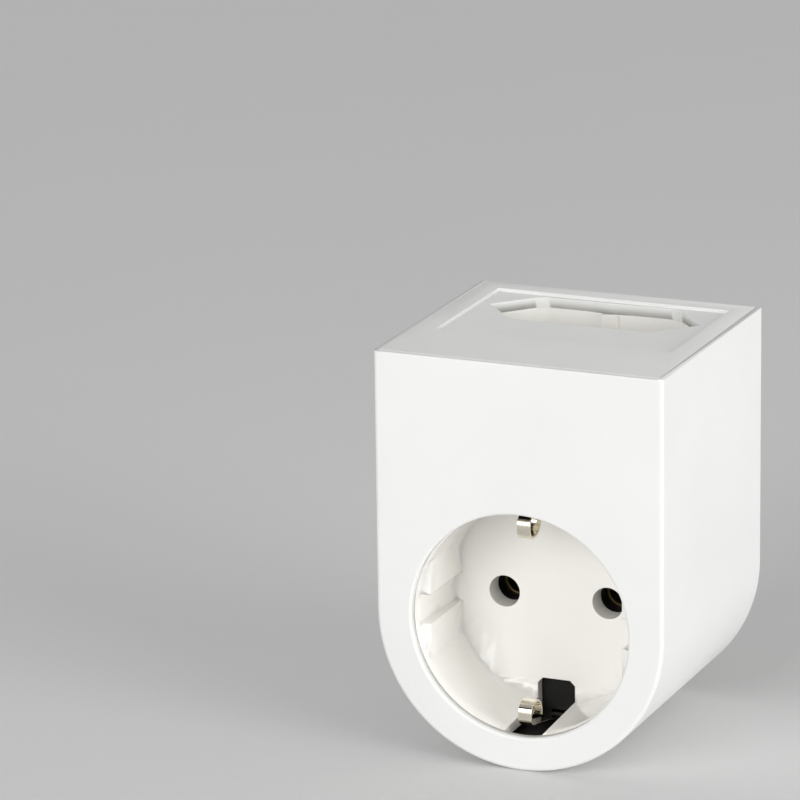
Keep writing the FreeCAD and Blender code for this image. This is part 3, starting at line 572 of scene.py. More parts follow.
def dress_node(node, material):
    """Give a CAD node that stays in view a better material."""
    thing = frame["nodes"][node]
    if not thing.material_slots:
        raise RuntimeError(f"{node} has no material slot")
    for slot in thing.material_slots:
        slot.material = bpy.data.materials[material]


# Geometry Nodes.


def set_input(modifier, label, value):
    """Set one named input of a Geometry Nodes modifier."""
    item = next(item for item in modifier.node_group.interface.items_tree
                if item.item_type == "SOCKET" and item.in_out == "INPUT" and item.name == label)
    modifier[item.identifier] = value


def grown(source, name, group, material, **sockets):
    """Run a Geometry Nodes group on an object, and keep the result as a plain mesh object."""
    modifier = source.modifiers.new(name, "NODES")
    modifier.node_group = bpy.data.node_groups[group]
    for label, value in sockets.items():
        set_input(modifier, label.replace("_", " "), value)
    set_input(modifier, "Finish", bpy.data.materials[material])
    source.update_tag()
    bpy.context.view_layer.update()
    graph = bpy.context.evaluated_depsgraph_get()
    mesh = bpy.data.meshes.new_from_object(source.evaluated_get(graph))
    bpy.data.objects.remove(source)
    solid = bmesh.new()
    solid.from_mesh(mesh)
    bmesh.ops.remove_doubles(solid, verts=solid.verts, dist=MERGE)
    bmesh.ops.recalc_face_normals(solid, faces=solid.faces)
    solid.to_mesh(mesh)
    solid.free()
    if not mesh.polygons:
        raise RuntimeError(f"{name} came out empty")
    return object_of_mesh(mesh, name)


def points_object(name, places):
    """A helper object with one loose point at each place."""
    mesh = bpy.data.meshes.new(name)
    mesh.from_pydata([tuple(place) for place in places], [], [])
    made = bpy.data.objects.new(name, mesh)
    bpy.context.scene.collection.objects.link(made)
    return made


def path_object(name, points, bends):
    """A helper curve through points, whose radius at each point is the bend that it gets there."""
    data = bpy.data.curves.new(name, "CURVE")
    data.dimensions = "3D"
    spline = data.splines.new("POLY")
    spline.points.add(len(points) - 1)
    for point, place, bend in zip(spline.points, points, bends):
        point.co = (*place, 1.0)
        point.radius = bend
    made = bpy.data.objects.new(name, data)
    bpy.context.scene.collection.objects.link(made)
    return made


def close_tree(tree, outlet, geometry, finish):
    """End a tree in real geometry with its material set."""
    real = place(tree, "GeometryNodeRealizeInstances", {"Geometry": geometry})
    painted = place(tree, "GeometryNodeSetMaterial", {"Geometry": real.outputs[0], "Material": finish})
    tree.links.new(painted.outputs[0], outlet.inputs["Geometry"])


def bent_strip_group():
    """Flat strip bent along a path: every corner gets the bend radius that the path's point holds."""
    tree, inlet, outlet = new_group(
        "bent_strip", "GeometryNodeTree",
        {"Geometry": ("Geometry", None), "Width": ("Float", 2.4 * MM), "Thickness": ("Float", 0.45 * MM),
         "Edge Round": ("Float", 0.08 * MM), "Finish": ("Material", None)},
        {"Geometry": ("Geometry", None)})
    bend = place(tree, "GeometryNodeInputRadius")
    bent = place(tree, "GeometryNodeFilletCurve",
                 {"Curve": inlet.outputs["Geometry"], "Radius": bend.outputs[0], "Count": 10,
                  "Limit Radius": True}, mode="POLY")
    even = place(tree, "GeometryNodeSetCurveRadius", {"Curve": bent.outputs[0], "Radius": 1.0})
    section = place(tree, "GeometryNodeCurvePrimitiveQuadrilateral",
                    {"Width": inlet.outputs["Width"], "Height": inlet.outputs["Thickness"]})
    soft = place(tree, "GeometryNodeFilletCurve",
                 {"Curve": section.outputs[0], "Radius": inlet.outputs["Edge Round"], "Count": 4,
                  "Limit Radius": True}, mode="POLY")
    swept = place(tree, "GeometryNodeCurveToMesh",
                  {"Curve": even.outputs[0], "Profile Curve": soft.outputs[0], "Fill Caps": True})
    close_tree(tree, outlet, swept.outputs[0], inlet.outputs["Finish"])


def rolled_sleeve_group():
    """Contact sleeve on each point: strip rolled round the group's axis, with a slit."""
    tree, inlet, outlet = new_group(
        "rolled_sleeve", "GeometryNodeTree",
        {"Geometry": ("Geometry", None), "Radius": ("Float", 2.7 * MM), "Wall": ("Float", 0.75 * MM),
         "Length": ("Float", 14 * MM), "Slit": ("Float", 0.6 * MM), "Turn": ("Rotation", None),
         "Finish": ("Material", None)},
        {"Geometry": ("Geometry", None)})
    share = sums(tree, "DIVIDE", inlet.outputs["Slit"], inlet.outputs["Radius"])
    sweep = sums(tree, "SUBTRACT", FULL_TURN, share)
    path = place(tree, "GeometryNodeCurveArc",
                 {"Resolution": 56, "Radius": inlet.outputs["Radius"], "Sweep Angle": sweep}, mode="RADIUS")
    section = place(tree, "GeometryNodeCurvePrimitiveQuadrilateral",
                    {"Width": inlet.outputs["Wall"], "Height": inlet.outputs["Length"]})
    corner = sums(tree, "MULTIPLY", inlet.outputs["Wall"], 0.3)
    soft = place(tree, "GeometryNodeFilletCurve",
                 {"Curve": section.outputs[0], "Radius": corner, "Count": 4, "Limit Radius": True},
                 mode="POLY")
    rolled = place(tree, "GeometryNodeCurveToMesh",
                   {"Curve": path.outputs[0], "Profile Curve": soft.outputs[0], "Fill Caps": True})
    copies = place(tree, "GeometryNodeInstanceOnPoints",
                   {"Points": inlet.outputs["Geometry"], "Instance": rolled.outputs[0],
                    "Rotation": inlet.outputs["Turn"]})
    close_tree(tree, outlet, copies.outputs[0], inlet.outputs["Finish"])


def fastener_group():
    """Fastener on each point: round shank, domed head, and a cross recess cut into it when asked for."""
    tree, inlet, outlet = new_group(
        "fastener", "GeometryNodeTree",
        {"Geometry": ("Geometry", None), "Shank": ("Float", 1.25 * MM), "Length": ("Float", 9 * MM),
         "Head": ("Float", 2.4 * MM), "Height": ("Float", 1.3 * MM), "Recess": ("Float", 0.7 * MM),
         "Turn": ("Rotation", None), "Finish": ("Material", None)},
        {"Geometry": ("Geometry", None)})
    shank = place(tree, "GeometryNodeMeshCylinder",
                  {"Vertices": 24, "Radius": inlet.outputs["Shank"], "Depth": inlet.outputs["Length"]})
    sunk = sums(tree, "MULTIPLY", inlet.outputs["Length"], -0.499)
    low = place(tree, "ShaderNodeCombineXYZ", {"Z": sunk})
    lowered = place(tree, "GeometryNodeTransform",
                    {"Geometry": shank.outputs[0], "Translation": low.outputs[0]})
    head = place(tree, "GeometryNodeMeshUVSphere", {"Segments": 32, "Rings": 16, "Radius": 1.0})
    size = place(tree, "ShaderNodeCombineXYZ",
                 {"X": inlet.outputs["Head"], "Y": inlet.outputs["Head"],
                  "Z": sums(tree, "MULTIPLY", inlet.outputs["Height"], 1.15)})
    domed = place(tree, "GeometryNodeTransform", {"Geometry": head.outputs[0], "Scale": size.outputs[0]})
    spot = place(tree, "GeometryNodeInputPosition")
    parts = place(tree, "ShaderNodeSeparateXYZ", {"Vector": spot.outputs[0]})
    held = sums(tree, "MINIMUM", sums(tree, "MAXIMUM", parts.outputs["Z"], 0.0), inlet.outputs["Height"])
    seated = place(tree, "ShaderNodeCombineXYZ",
                   {"X": parts.outputs["X"], "Y": parts.outputs["Y"], "Z": held})
    flat = place(tree, "GeometryNodeSetPosition",
                 {"Geometry": domed.outputs[0], "Position": seated.outputs[0]})
    clean = place(tree, "GeometryNodeMergeByDistance", {"Geometry": flat.outputs[0], "Distance": MERGE})
    narrow = inlet.outputs["Recess"]
    wide = sums(tree, "MULTIPLY", inlet.outputs["Recess"], 4.0)
    cutters = []
    for across, along in ((narrow, wide), (wide, narrow)):
        size = place(tree, "ShaderNodeCombineXYZ",
                     {"X": across, "Y": along, "Z": sums(tree, "MULTIPLY", inlet.outputs["Height"], 1.1)})
        bar = place(tree, "GeometryNodeMeshCube", {"Size": size.outputs[0]})
        up = place(tree, "ShaderNodeCombineXYZ", {"Z": inlet.outputs["Height"]})
        raised = place(tree, "GeometryNodeTransform",
                       {"Geometry": bar.outputs[0], "Translation": up.outputs[0]})
        cutters.append(raised.outputs[0])
    whole = place(tree, "GeometryNodeMeshBoolean", operation="UNION", solver="EXACT")
    tree.links.new(clean.outputs[0], whole.inputs["Mesh 2"])
    tree.links.new(lowered.outputs[0], whole.inputs["Mesh 2"])
    cut = place(tree, "GeometryNodeMeshBoolean", {"Mesh 1": whole.outputs[0]}, operation="DIFFERENCE",
                solver="EXACT")
    for cutter in cutters:
        tree.links.new(cutter, cut.inputs["Mesh 2"])
    copies = place(tree, "GeometryNodeInstanceOnPoints",
                   {"Points": inlet.outputs["Geometry"], "Instance": cut.outputs[0],
                    "Rotation": inlet.outputs["Turn"]})
    close_tree(tree, outlet, copies.outputs[0], inlet.outputs["Finish"])


# Operators, in the order in which main() calls them.


class ADAPTER_OT_finishes(bpy.types.Operator):
    """Make the shared node groups and every material"""
    bl_idname = "adapter.finishes"
    bl_label = "Finishes"

    def execute(self, context):
        """Build groups first, because the materials place them."""
        for build in (moulded_plastic_group, edge_wear_group, corner_shade_and_dust_group, drawn_metal_group,
                      bent_strip_group, rolled_sleeve_group, fastener_group):
            build()
        housing, plug = context.scene.adapter_housing, context.scene.adapter_plug
        clip, inside = context.scene.adapter_clip, context.scene.adapter_inside
        plastic("satin_shell", housing.shell_white, housing.shell_shade, 0.30, 0.38, 0.30, 0.006 * MM, 0.08,
                IOR=1.5)
        # The socket material's cream carries painted bounce light inside the recesses.
        plastic("gloss_socket_and_bounce", housing.socket_cream, housing.socket_drift_and_bounce, 0.10, 0.18, 0.10, 0.004 * MM,
                0.06, IOR=1.53)
        plastic("satin_collar", housing.collar_grey, housing.collar_shade, 0.34, 0.42, 0.35, 0.006 * MM, 0.35,
                IOR=1.5)
        # This black serves the real dark mouldings and, as painted shade, the pin guides' deep ends.
        plastic("black_nylon_and_shade", inside.nylon, inside.nylon_shade, 0.42, 0.55, 0.60, 0.01 * MM, 0.1, IOR=1.25)
        metal("plug_plating", plug.nickel, plug.nickel_worn, 0.12, 0.26, (1.0, 0.06, 1.0), 0.0015 * MM)
        metal("clip_plating", clip.plating, clip.plating_worn, 0.07, 0.16, (1.0, 0.1, 0.1), 0.001 * MM)
        # Painted shade: a darkened copy of the contact brass for the contacts that sit in shadow deep inside.
        brass_shade_tone, brass_shade_worn_tone = ([part * BRASS_PAINTED_SHADE for part in tone]
                           for tone in (inside.brass, inside.brass_worn))
        metal("shaded_dull_brass", brass_shade_tone, brass_shade_worn_tone, 0.45, 0.60, (1.0, 0.1, 1.0), 0.002 * MM)
        metal("contact_brass", inside.brass, inside.brass_worn, 0.22, 0.40, (1.0, 0.1, 1.0), 0.002 * MM)
        metal("screw_steel", inside.steel, inside.steel_worn, 0.25, 0.40, (1.0, 1.0, 0.2), 0.002 * MM)
        return {"FINISHED"}


class ADAPTER_OT_housing(bpy.types.Operator):
    """Build the outer sleeve and the rear cover"""
    bl_idname = "adapter.housing"
    bl_label = "Housing"

    def execute(self, context):
        """The sleeve is swept round its U-shaped outline; the cover keeps its CAD walls."""
        settings = context.scene.adapter_housing
        width = settings.soft_edge
        tub = object_from(skin(self.tub_loops(settings), joined=True), "tub")
        margin = 0.01 * MM
        inside = SLEEVE_HIGH.x - settings.lip + margin
        ledge = COVER_HIGH.z - settings.rebate
        solid = cut_away(tub, Vector((-inside, SLEEVE_LOW.y + settings.lip, ledge)),
                         Vector((inside, 5 * MM, COVER_HIGH.z + 5 * MM)))
        soften(solid, width, lambda edge: edge.is_convex and middle_of(edge).z > ledge - margin
               and edge.calc_length() > MM and abs(middle_of(edge).x) < inside - MM, 2)
        dress(object_from(solid, "sleeve_shell"), "satin_shell", "shell_white", "root", "outer_sleeve")
        solid = merged_copy("rear_cover")
        soften(solid, settings.recess_round, in_recess, 5)
        soften(solid, width, self.off_seam)
        cover = object_from(solid, "cover_shell")
        dress(cover, "satin_shell", "shell_white", "root", "rear_cover")
        return {"FINISHED"}

    def off_seam(self, edge):
        """Whether an edge lies away from the top's side seams and from the seam under the recess's mouth."""
        spot = middle_of(edge)
        at_side = abs(spot.x) > COVER_HIGH.x - NEAR and spot.z > COVER_HIGH.z - 2 * NEAR
        under = abs(spot.z - (COVER_HIGH.z - SEAT_DEPTH)) < 0.03 * MM and abs(spot.x) < SEAT_REACH
        return not at_side and not under

    def tub_loops(self, settings):
        """Closed tub: round the rim, over the front edge, into the mouth, and back along the inside."""
        front, rim = SLEEVE_LOW.y, SLEEVE_HIGH.y
        step = rim - settings.rebate
        edge, mouth, tip = settings.edge_round, settings.mouth_round, settings.lip_round
        loops = []
        for angle in arc_steps(4):
            loops.append(self.outline(tip * (1 - math.sin(angle)), 0.0, rim - tip * (1 - math.cos(angle))))
        for angle in arc_steps(7):
            loops.append(self.outline(edge * (1 - math.cos(angle)), tip, front + edge * (1 - math.sin(angle)),
                                      front + tip * (1 - math.sin(angle))))
        for angle in arc_steps(6):
            loops.append(self.ring(settings.mouth + mouth * (1 - math.sin(angle)),
                                   front + mouth * (1 - math.cos(angle))))
        loops.append(self.ring(settings.mouth, front + settings.front_wall))
        loops.append(self.outline(settings.wall, 0.0, front + settings.front_wall))
        loops.append(self.outline(settings.wall, 0.0, step))
        loops.append(self.outline(settings.lip, 0.0, step))
        for angle in arc_steps(4):
            loops.append(self.outline(settings.lip - tip * (1 - math.cos(angle)), 0.0,
                                      rim - tip * (1 - math.sin(angle))))
        return loops

    def outline(self, inset, tip, depth, tip_depth=None):
        """Points round the sleeve's U shape and back across its top, moved inwards.

        Where the top edge has its own rounding, tip is its radius and tip_depth its points' place along Y.
        """
        radius = SLEEVE_HIGH.x - inset
        middle = SLEEVE_LOW.z + SLEEVE_HIGH.x
        top_depth = depth if tip_depth is None else tip_depth
        drop, corner_drop = (inset, inset) if tip_depth is None else (
            self.rounding(tip, top_depth), self.rounding(tip, depth))
        top = SLEEVE_HIGH.z
        sides, arc, across = 32, 96, 32
        points = []
        for index in range(sides):
            points.append((radius, depth, top - corner_drop + (middle - top + corner_drop) * index / sides))
        for index in range(arc + 1):
            turn = -math.pi * index / arc
            points.append((radius * math.cos(turn), depth, middle + radius * math.sin(turn)))
        for index in range(1, sides + 1):
            points.append((-radius, depth, middle + (top - corner_drop - middle) * index / sides))
        for index in range(1, across):
            points.append((-radius + 2 * radius * index / across, top_depth, top - drop))
        return points

    def rounding(self, tip, depth):
        """How far the top edge's rounding has dropped at a place along Y."""
        left = tip - (depth - SLEEVE_LOW.y)
        return tip - math.sqrt(max(tip * tip - left * left, 0.0)) if left > 0 else 0.0

    def ring(self, radius, depth):
        """Points round the mouth, each in line with the outline's point of the same number."""
        points = []
        for x, _, z in self.outline(0.0, 0.0, depth):
            turn = math.atan2(z - SOCKET_RISE, x)
            points.append((radius * math.cos(turn), depth, SOCKET_RISE + radius * math.sin(turn)))
        return points


class ADAPTER_OT_sockets(bpy.types.Operator):
    """Build the round socket's well and the flat socket's well"""
    bl_idname = "adapter.sockets"
    bl_label = "Sockets"

    def execute(self, context):
        """The wells keep the CAD recesses; the round one's pin guides end in black, as painted shade deep in
        the holes.
        """
        settings = context.scene.adapter_housing
        width = settings.soft_edge
        low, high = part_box("socket_well")
        end = high.y - settings.guide_shade_depth
        raw = object_from(merged_copy("socket_well"), "well_with_guides")
        # Painted shade: the guides' deep ends are cut off here and remade in black.
        solid = cut_away(raw, Vector((low.x - MM, end, low.z - MM)), high + Vector((MM, MM, MM)))
        soften(solid, settings.flat_round, self.on_groove, 5)
        soften(solid, width, self.outward)
        well = object_from(solid, "socket_well_moulding")
        # The round well's cream carries painted bounce light.
        dress(well, "gloss_socket_and_bounce", "socket_cream", "root", "socket_well")
        for side in ("live", "neutral"):
            self.guide(side, end, high.y, settings.guide_wall)
        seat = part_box("flat_well")[1].z
        solid = merged_copy("flat_well")
        soften(solid, settings.recess_round, in_recess, 5)
        soften(solid, width, lambda edge: middle_of(edge).z < seat - 0.02 * MM)
        well = object_from(solid, "flat_well_moulding")
        # The flat well's cream carries painted bounce light.
        dress(well, "gloss_socket_and_bounce", "socket_cream", "root", "flat_well")
        return {"FINISHED"}

    def guide(self, side, start, end, wall):
        """Black end of one pin guide, a short tube with a chamfered rim; the black is painted shade deep in
        the hole.
        """
        hole = MOUNTS[f"socket_hole_{side}"]
        centre, inner = (hole["pos_m"][0], hole["pos_m"][2]), hole["dims"]["r_mm"] * MM
        outer = inner + wall
        loops = [circle(centre, outer, start), circle(centre, outer, end - NEAR),
                 circle(centre, outer - NEAR, end), circle(centre, inner + NEAR, end),
                 circle(centre, inner, end - NEAR), circle(centre, inner, start)]
        tube = object_from(skin(loops, joined=True), f"pin_guide_{side}")
        dress(tube, "black_nylon_and_shade", "inner_dark", "root", "socket_well")

    def on_groove(self, edge):
        """Whether an edge is a long corner of a guide groove, or the upright front corner of a flat."""
        spot = middle_of(edge)
        near = abs(spot.z - SOCKET_RISE) < GROOVE_REACH
        return edge.is_convex and near and FLAT_REACH < abs(spot.x) < FLAT_REACH + 0.2 * MM

    def outward(self, edge):
        """Whether an edge is an outer corner, the flats and the seam at the mouth left out."""
        spot = middle_of(edge)
        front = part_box("socket_well")[0].y
        at_flat = abs(spot.x) > FLAT_REACH and spot.y > front + 2 * NEAR
        at_seam = spot.y < front + NEAR and abs(spot.x) > 4 * MM
        return edge.is_convex and not at_flat and not at_seam


class ADAPTER_OT_plug_face(bpy.types.Operator):
    """Build the plug's round face and its three collars"""
    bl_idname = "adapter.plug_face"
    bl_label = "Plug face"

    def execute(self, context):
        """Collars are rings with a rounded rim on both sides."""
        settings = context.scene.adapter_plug
        disc = soft_copy("plug_face_disc", "plug_face", context.scene.adapter_housing.soft_edge)
        dress(disc, "satin_shell", "shell_white", "root", "plug_face_disc")
        edge = settings.collar_edge
        for side in ("live", "neutral"):
            node = f"blade_collar_{side}"
            low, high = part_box(node)
            blade_low, blade_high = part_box(f"blade_{side}")
            centre = ((low.x + high.x) / 2, (low.z + high.z) / 2)
            outer = ((high.x - low.x) / 2, (high.z - low.z) / 2)
            inner = ((blade_high.x - blade_low.x) / 2, (blade_high.z - blade_low.z) / 2)
            loops = [rounded_rectangle(centre, *outer, settings.collar_corner, low.y)]
            for angle in arc_steps(4):
                inset = edge * (1 - math.cos(angle))
                loops.append(rounded_rectangle(centre, outer[0] - inset, outer[1] - inset,
                                               settings.collar_corner,
                                               high.y - edge + edge * math.sin(angle)))
            for angle in reversed(arc_steps(4)):
                inset = edge * (1 - math.cos(angle))
                loops.append(rounded_rectangle(centre, inner[0] + inset, inner[1] + inset, edge,
                                               high.y - edge + edge * math.sin(angle)))
            loops.append(rounded_rectangle(centre, *inner, edge, low.y))
            collar = object_from(skin(loops, joined=True), f"{node}_moulding")
            dress(collar, "satin_collar", "collar_grey", "root", node)
        low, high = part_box("ground_collar")
        centre = ((low.x + high.x) / 2, (low.z + high.z) / 2)
        outer, inner = (high.x - low.x) / 2, settings.neck
        loops = [circle(centre, outer, low.y)]
        for angle in arc_steps(4):
            loops.append(circle(centre, outer - edge * (1 - math.cos(angle)),
                                high.y - edge + edge * math.sin(angle)))
        for angle in reversed(arc_steps(4)):
            loops.append(circle(centre, inner + edge * (1 - math.cos(angle)),
                                high.y - edge + edge * math.sin(angle)))
        loops.append(circle(centre, inner, low.y))
        collar = object_from(skin(loops, joined=True), "ground_collar_moulding")
        dress(collar, "satin_collar", "collar_grey", "root", "ground_collar")
        return {"FINISHED"}


class ADAPTER_OT_pins(bpy.types.Operator):
    """Build the two blades and the ground pin"""
    bl_idname = "adapter.pins"
    bl_label = "Blades and ground pin"

    def execute(self, context):
        """Blades narrow on all four sides towards the tip; the pin ends in a dome."""
        settings = context.scene.adapter_plug
        tip, edge = settings.blade_tip, settings.blade_edge
        for side in ("live", "neutral"):
            low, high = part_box(f"blade_{side}")
            centre = ((low.x + high.x) / 2, (low.z + high.z) / 2)
            half_wide, half_high = (high.x - low.x) / 2, (high.z - low.z) / 2
            loops = [rounded_rectangle(centre, half_wide, half_high, edge, low.y)]
            for angle in arc_steps(8):
                share = 1 - math.cos(angle)
                loops.append(rounded_rectangle(centre, half_wide - 0.35 * tip * share,
                                               half_high - tip * share, edge,
                                               high.y - tip + tip * math.sin(angle)))
            blade = object_from(skin(loops), f"plug_blade_{side}")
            dress(blade, "plug_plating", "plug_nickel", "root", f"blade_{side}")
        low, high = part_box("ground_pin")
        centre = ((low.x + high.x) / 2, (low.z + high.z) / 2)
        radius = (high.x - low.x) / 2
        neck, chamfer, shoulder = settings.neck, settings.pin_chamfer, settings.neck_reach
        loops = [circle(centre, neck - chamfer, low.y), circle(centre, neck, low.y + chamfer),
                 circle(centre, neck, shoulder - NEAR), circle(centre, radius - NEAR, shoulder),
                 circle(centre, radius, shoulder + 0.08 * MM)]
        for angle in arc_steps(16):
            loops.append(circle(centre, max(radius * math.cos(angle), 0.01 * MM),
                                high.y - radius + radius * math.sin(angle)))
        pin = object_from(skin(loops), "plug_ground_pin")
        dress(pin, "plug_plating", "plug_nickel", "root", "ground_pin")
        return {"FINISHED"}


class ADAPTER_OT_earth_clips(bpy.types.Operator):
    """Bend the two earth clips from flat strip"""
    bl_idname = "adapter.earth_clips"
    bl_label = "Earth clips"

    def execute(self, context):
        """The path runs from the tail up the slope, round the front and over the D-shaped loop."""
        settings = context.scene.adapter_clip
        half = settings.strip / 2
        bends = [0.0, settings.slope_bend, settings.heel_bend, settings.front_bend, settings.back_bend, 0.0]
        for end, up in (("top", 1), ("bottom", -1)):
            node = f"earth_clip_{end}"
            low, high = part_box(node)
            root = high.z - half if up > 0 else low.z + half
            tip = low.z + half if up > 0 else high.z - half
            front, back = low.y + half, low.y + settings.loop_depth - half
            heel = root - up * settings.heel
            middle = (low.x + high.x) / 2
            route = [(high.y, root), (high.y - settings.tail, root), (front, heel), (front, tip),
                     (back, tip), (back, heel - up * settings.loop_gap)]
            source = path_object(f"{node}_path", [(middle, y, z) for y, z in route], bends)
            clip = grown(source, f"{node}_strip", "bent_strip", "clip_plating", Width=high.x - low.x,
                         Thickness=settings.strip, Edge_Round=settings.edge)
            dress(clip, "clip_plating", "clip_nickel", node, node)
        return {"FINISHED"}


class ADAPTER_OT_inside(bpy.types.Operator):
    """Build contacts and fasteners, and finish the mouldings inside"""
    bl_idname = "adapter.inside"
    bl_label = "Inside"

    def execute(self, context):
        """Sleeves and screws are set out on points; the rivets are rounded CAD copies, and the rest keeps its
        CAD shape.
        """
        settings = context.scene.adapter_inside
        for node in ("contact_carrier", "blade_carrier", "flat_contact_holder"):
            dress_node(node, "black_nylon_and_shade")
        for node in ("busbar_live", "busbar_neutral"):
            dress_node(node, "contact_brass")
        # Painted shade: the earth bridge gets the darkened copy of the brass.
        dress_node("earth_bridge", "shaded_dull_brass")
        turned = (math.pi / 2, 0.0, 0.0)
        for kind, along, turn in (("socket", "y", turned), ("flat", "z", (0.0, 0.0, math.pi / 2))):
            for side in ("live", "neutral"):
                node = f"{kind}_contact_{side}"
                low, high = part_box(node)
                span = getattr(high, along) - getattr(low, along)
                wall = settings.contact_wall if kind == "socket" else settings.flat_contact_wall
                source = points_object(f"{node}_place", [(low + high) / 2])
                sleeve = grown(source, f"{node}_sleeve", "rolled_sleeve", "contact_brass",
                               Radius=(high.x - low.x - wall) / 2, Wall=wall, Length=span,
                               Slit=settings.contact_slit, Turn=turn)
                # Painted shade: the contact sleeves get the darkened copy of the brass.
                dress(sleeve, "shaded_dull_brass", "contact_brass", "root", node)
        towards_wall, down = (-math.pi / 2, 0.0, 0.0), (math.pi, 0.0, 0.0)
        along_y, along_z = 1, 2
        for node, axis, way, turn, sizes in (
                ("blade_carrier_screws", along_y, 1, towards_wall, (1.25 * MM, 2.4 * MM, 1.3 * MM)),
                ("carrier_screws", along_y, 1, towards_wall, (1.25 * MM, 2.4 * MM, 1.4 * MM)),
                ("holder_screws", along_z, -1, down, (0.75 * MM, 2.3 * MM, 1.0 * MM))):
            self.screws(node, axis, way, turn, sizes, settings.recess)
        for node in ("blade_rivets", "ground_rivet"):
            rivets = soft_copy(node, f"{node}_domed", settings.rivet_round)
            dress(rivets, "contact_brass", "contact_brass", "root", node)
        return {"FINISHED"}

    def screws(self, node, axis, way, turn, sizes, recess):
        """One screw on the seat of each solid of a CAD node; way says at which end of the axis the heads lie.

        The sizes are the shank's radius, the head's radius and the head's height.
        """
        shank, head, height = sizes
        seats, long = [], 0.0
        for low, high in islands(node):
            seat = (low + high) / 2
            seat[axis] = high[axis] - height if way > 0 else low[axis] + height
            long = high[axis] - low[axis] - height
            seats.append(seat)
        source = points_object(f"{node}_seats", seats)
        made = grown(source, f"{node}_set", "fastener", "screw_steel", Shank=shank, Length=long, Head=head,
                     Height=height, Recess=recess, Turn=turn)
        dress(made, "screw_steel", "screw_steel", "root", node)


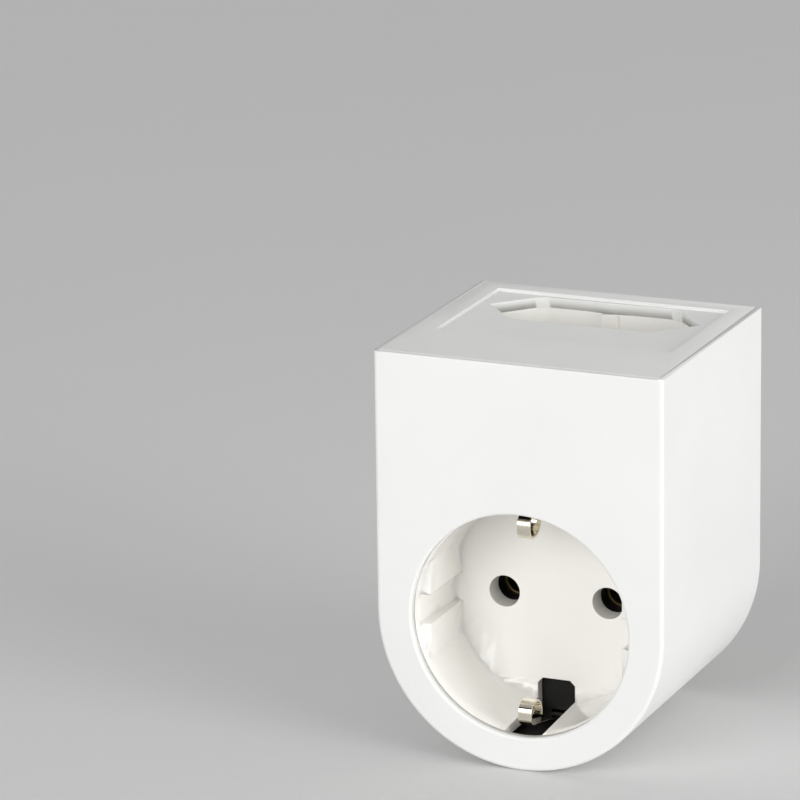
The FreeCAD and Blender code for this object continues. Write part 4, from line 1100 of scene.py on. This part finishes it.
class ADAPTER_OT_studio(bpy.types.Operator):
    """Set the camera, the floor and the lights"""
    bl_idname = "adapter.studio"
    bl_label = "Studio"

    def execute(self, context):
        """The camera looks from the front right, a little from above."""
        settings = context.scene.adapter_studio
        turn, rise = settings.azimuth, settings.elevation
        back = Vector((math.sin(turn) * math.cos(rise), -math.cos(turn) * math.cos(rise), math.sin(rise)))
        level = Vector((0, 0, 1)).cross(back).normalized()
        upright = back.cross(level)
        right = level * math.cos(settings.roll) + upright * math.sin(settings.roll)
        up = upright * math.cos(settings.roll) - level * math.sin(settings.roll)
        data = bpy.data.cameras.new("studio_camera")
        data.sensor_width = 36.0
        data.lens = settings.lens
        data.clip_start = 0.01
        data.clip_end = 50.0
        camera = bpy.data.objects.new("studio_camera", data)
        context.scene.collection.objects.link(camera)
        spot = VIEW_MIDDLE + back * settings.distance + right * settings.aside[0] + up * settings.aside[1]
        rows = [[right[row], up[row], back[row], spot[row]] for row in range(3)]
        camera.matrix_world = Matrix([*rows, [0, 0, 0, 1]])
        context.scene.camera = camera
        self.floor(context, settings)
        self.lights(context, settings)
        self.flags(context)
        return {"FINISHED"}

    def floor(self, context, settings):
        """A round sheet of pale paper under the adapter."""
        solid = bmesh.new()
        ground = CAD_BOX[0].z
        bmesh.ops.create_circle(solid, cap_ends=True, segments=128, radius=settings.floor_reach)
        bmesh.ops.translate(solid, vec=(0.0, 0.0, ground), verts=solid.verts)
        mesh = bpy.data.meshes.new("floor")
        solid.to_mesh(mesh)
        solid.free()
        floor = bpy.data.objects.new("floor", mesh)
        context.scene.collection.objects.link(floor)
        made, tree, surface, relief = start_material("studio_paper", 0.05 * MM)
        spot = place(tree, "ShaderNodeTexCoord").outputs["Object"]
        drift = spread(tree, noise(tree, spot, 2.5, 3.0), 0.35, 0.65, 0.0, 1.0)
        base = mix_colours(tree, drift, solid_colour(settings.paper), solid_colour(settings.paper_shade))
        tree.links.new(base, surface.inputs["Base Color"])
        dullness = spread(tree, noise(tree, spot, 40.0), 0.3, 0.7, 0.85, 0.95)
        tree.links.new(dullness, surface.inputs["Roughness"])
        tree.links.new(noise(tree, spot, 900.0), relief.inputs["Height"])
        mesh.materials.append(made)

    def flags(self, context):
        """Black cloths above and below the front light, which the bright metal shows as dark bands.

        Each cloth has a name, a place, a width and a height, and is hidden from the camera itself.
        """
        made, tree, surface, relief = start_material("black_cloth", 0.2 * MM)
        spot = place(tree, "ShaderNodeTexCoord").outputs["Object"]
        weave = noise(tree, spot, 700.0)
        deep, worn = solid_colour((0.003, 0.003, 0.003)), solid_colour((0.008, 0.008, 0.008))
        base = mix_colours(tree, weave, deep, worn)
        tree.links.new(base, surface.inputs["Base Color"])
        tree.links.new(spread(tree, weave, 0.3, 0.7, 0.85, 1.0), surface.inputs["Roughness"])
        tree.links.new(weave, relief.inputs["Height"])
        cloths = (
            ("upper_flag", (-0.1, -0.85, 0.88), 1.2, 0.22),
            ("lower_flag", (-0.42, -0.80, 0.045), 0.75, 0.10),
        )
        for name, place_at, wide, high in cloths:
            facing = (Vector(place_at) - LIGHT_MIDDLE).to_track_quat("Z", "Y").to_matrix().to_4x4()
            solid = bmesh.new()
            bmesh.ops.create_grid(solid, x_segments=1, y_segments=1, size=0.5)
            bmesh.ops.scale(solid, vec=(wide, high, 1.0), verts=solid.verts)
            bmesh.ops.transform(solid, matrix=Matrix.Translation(place_at) @ facing, verts=solid.verts)
            mesh = bpy.data.meshes.new(name)
            solid.to_mesh(mesh)
            solid.free()
            mesh.materials.append(made)
            flag = bpy.data.objects.new(name, mesh)
            flag.visible_camera = False
            context.scene.collection.objects.link(flag)

    def lights(self, context, settings):
        """Soft boxes in front, on the right, low on the right and behind, and an even grey room.

        Each box has a name, a place, a side length in metres and a power in watts.
        """
        boxes = (
            ("front_box", (-0.28, -1.16, 0.36), 0.8, 8.6),
            ("right_box", (1.20, -0.40, 0.26), 0.8, 8.3),
            ("low_box", (0.95, -0.25, 0.05), 0.3, 2.8),
            ("rear_box", (-0.5, 1.2, 0.4), 1.1, 1.5),
        )
        for name, place_at, side, power in boxes:
            data = bpy.data.lights.new(name, "AREA")
            data.shape = "SQUARE"
            data.size = side
            data.energy = power
            lamp = bpy.data.objects.new(name, data)
            context.scene.collection.objects.link(lamp)
            lamp.location = place_at
            lamp.rotation_euler = (Vector(place_at) - LIGHT_MIDDLE).to_track_quat("Z", "Y").to_euler()
        world = bpy.data.worlds.new("studio_room")
        world.use_nodes = True
        sky = world.node_tree.nodes["Background"]
        sky.inputs["Color"].default_value = (1.0, 1.0, 1.0, 1.0)
        sky.inputs["Strength"].default_value = settings.sky
        context.scene.world = world
        context.scene.view_settings.view_transform = "Standard"


class ADAPTER_PT_panel(bpy.types.Panel):
    """Lists the adapter's builders"""
    bl_idname = "ADAPTER_PT_panel"
    bl_label = "Travel Plug Adapter"
    bl_space_type = "VIEW_3D"
    bl_region_type = "UI"
    bl_category = "Adapter"

    def draw(self, context):
        """One button for each builder, then the settings."""
        for builder in BUILDERS:
            self.layout.operator(builder.bl_idname)
        for attribute in SETTINGS:
            group = getattr(context.scene, attribute)
            box = self.layout.box()
            for item in group.bl_rna.properties:
                if item.identifier not in ("rna_type", "name"):
                    box.prop(group, item.identifier)


BUILDERS = (ADAPTER_OT_finishes, ADAPTER_OT_housing, ADAPTER_OT_sockets, ADAPTER_OT_plug_face,
            ADAPTER_OT_pins, ADAPTER_OT_earth_clips, ADAPTER_OT_inside, ADAPTER_OT_studio)
SETTINGS = {"adapter_housing": HousingSettings, "adapter_plug": PlugSettings, "adapter_clip": ClipSettings,
            "adapter_inside": InsideSettings, "adapter_studio": StudioSettings}


def register():
    """Register settings, builders and panel."""
    for attribute, group in SETTINGS.items():
        bpy.utils.register_class(group)
        setattr(bpy.types.Scene, attribute, bpy.props.PointerProperty(type=group))
    for builder in (*BUILDERS, ADAPTER_PT_panel):
        bpy.utils.register_class(builder)


def unregister():
    """Take everything back out."""
    for builder in reversed((*BUILDERS, ADAPTER_PT_panel)):
        bpy.utils.unregister_class(builder)
    for attribute, group in SETTINGS.items():
        delattr(bpy.types.Scene, attribute)
        bpy.utils.unregister_class(group)


def main():
    """Build everything in order."""
    register()
    for builder in BUILDERS:
        family, action = builder.bl_idname.split(".")
        getattr(getattr(bpy.ops, family), action)()
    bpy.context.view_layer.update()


if __name__ == "__main__":
    main()
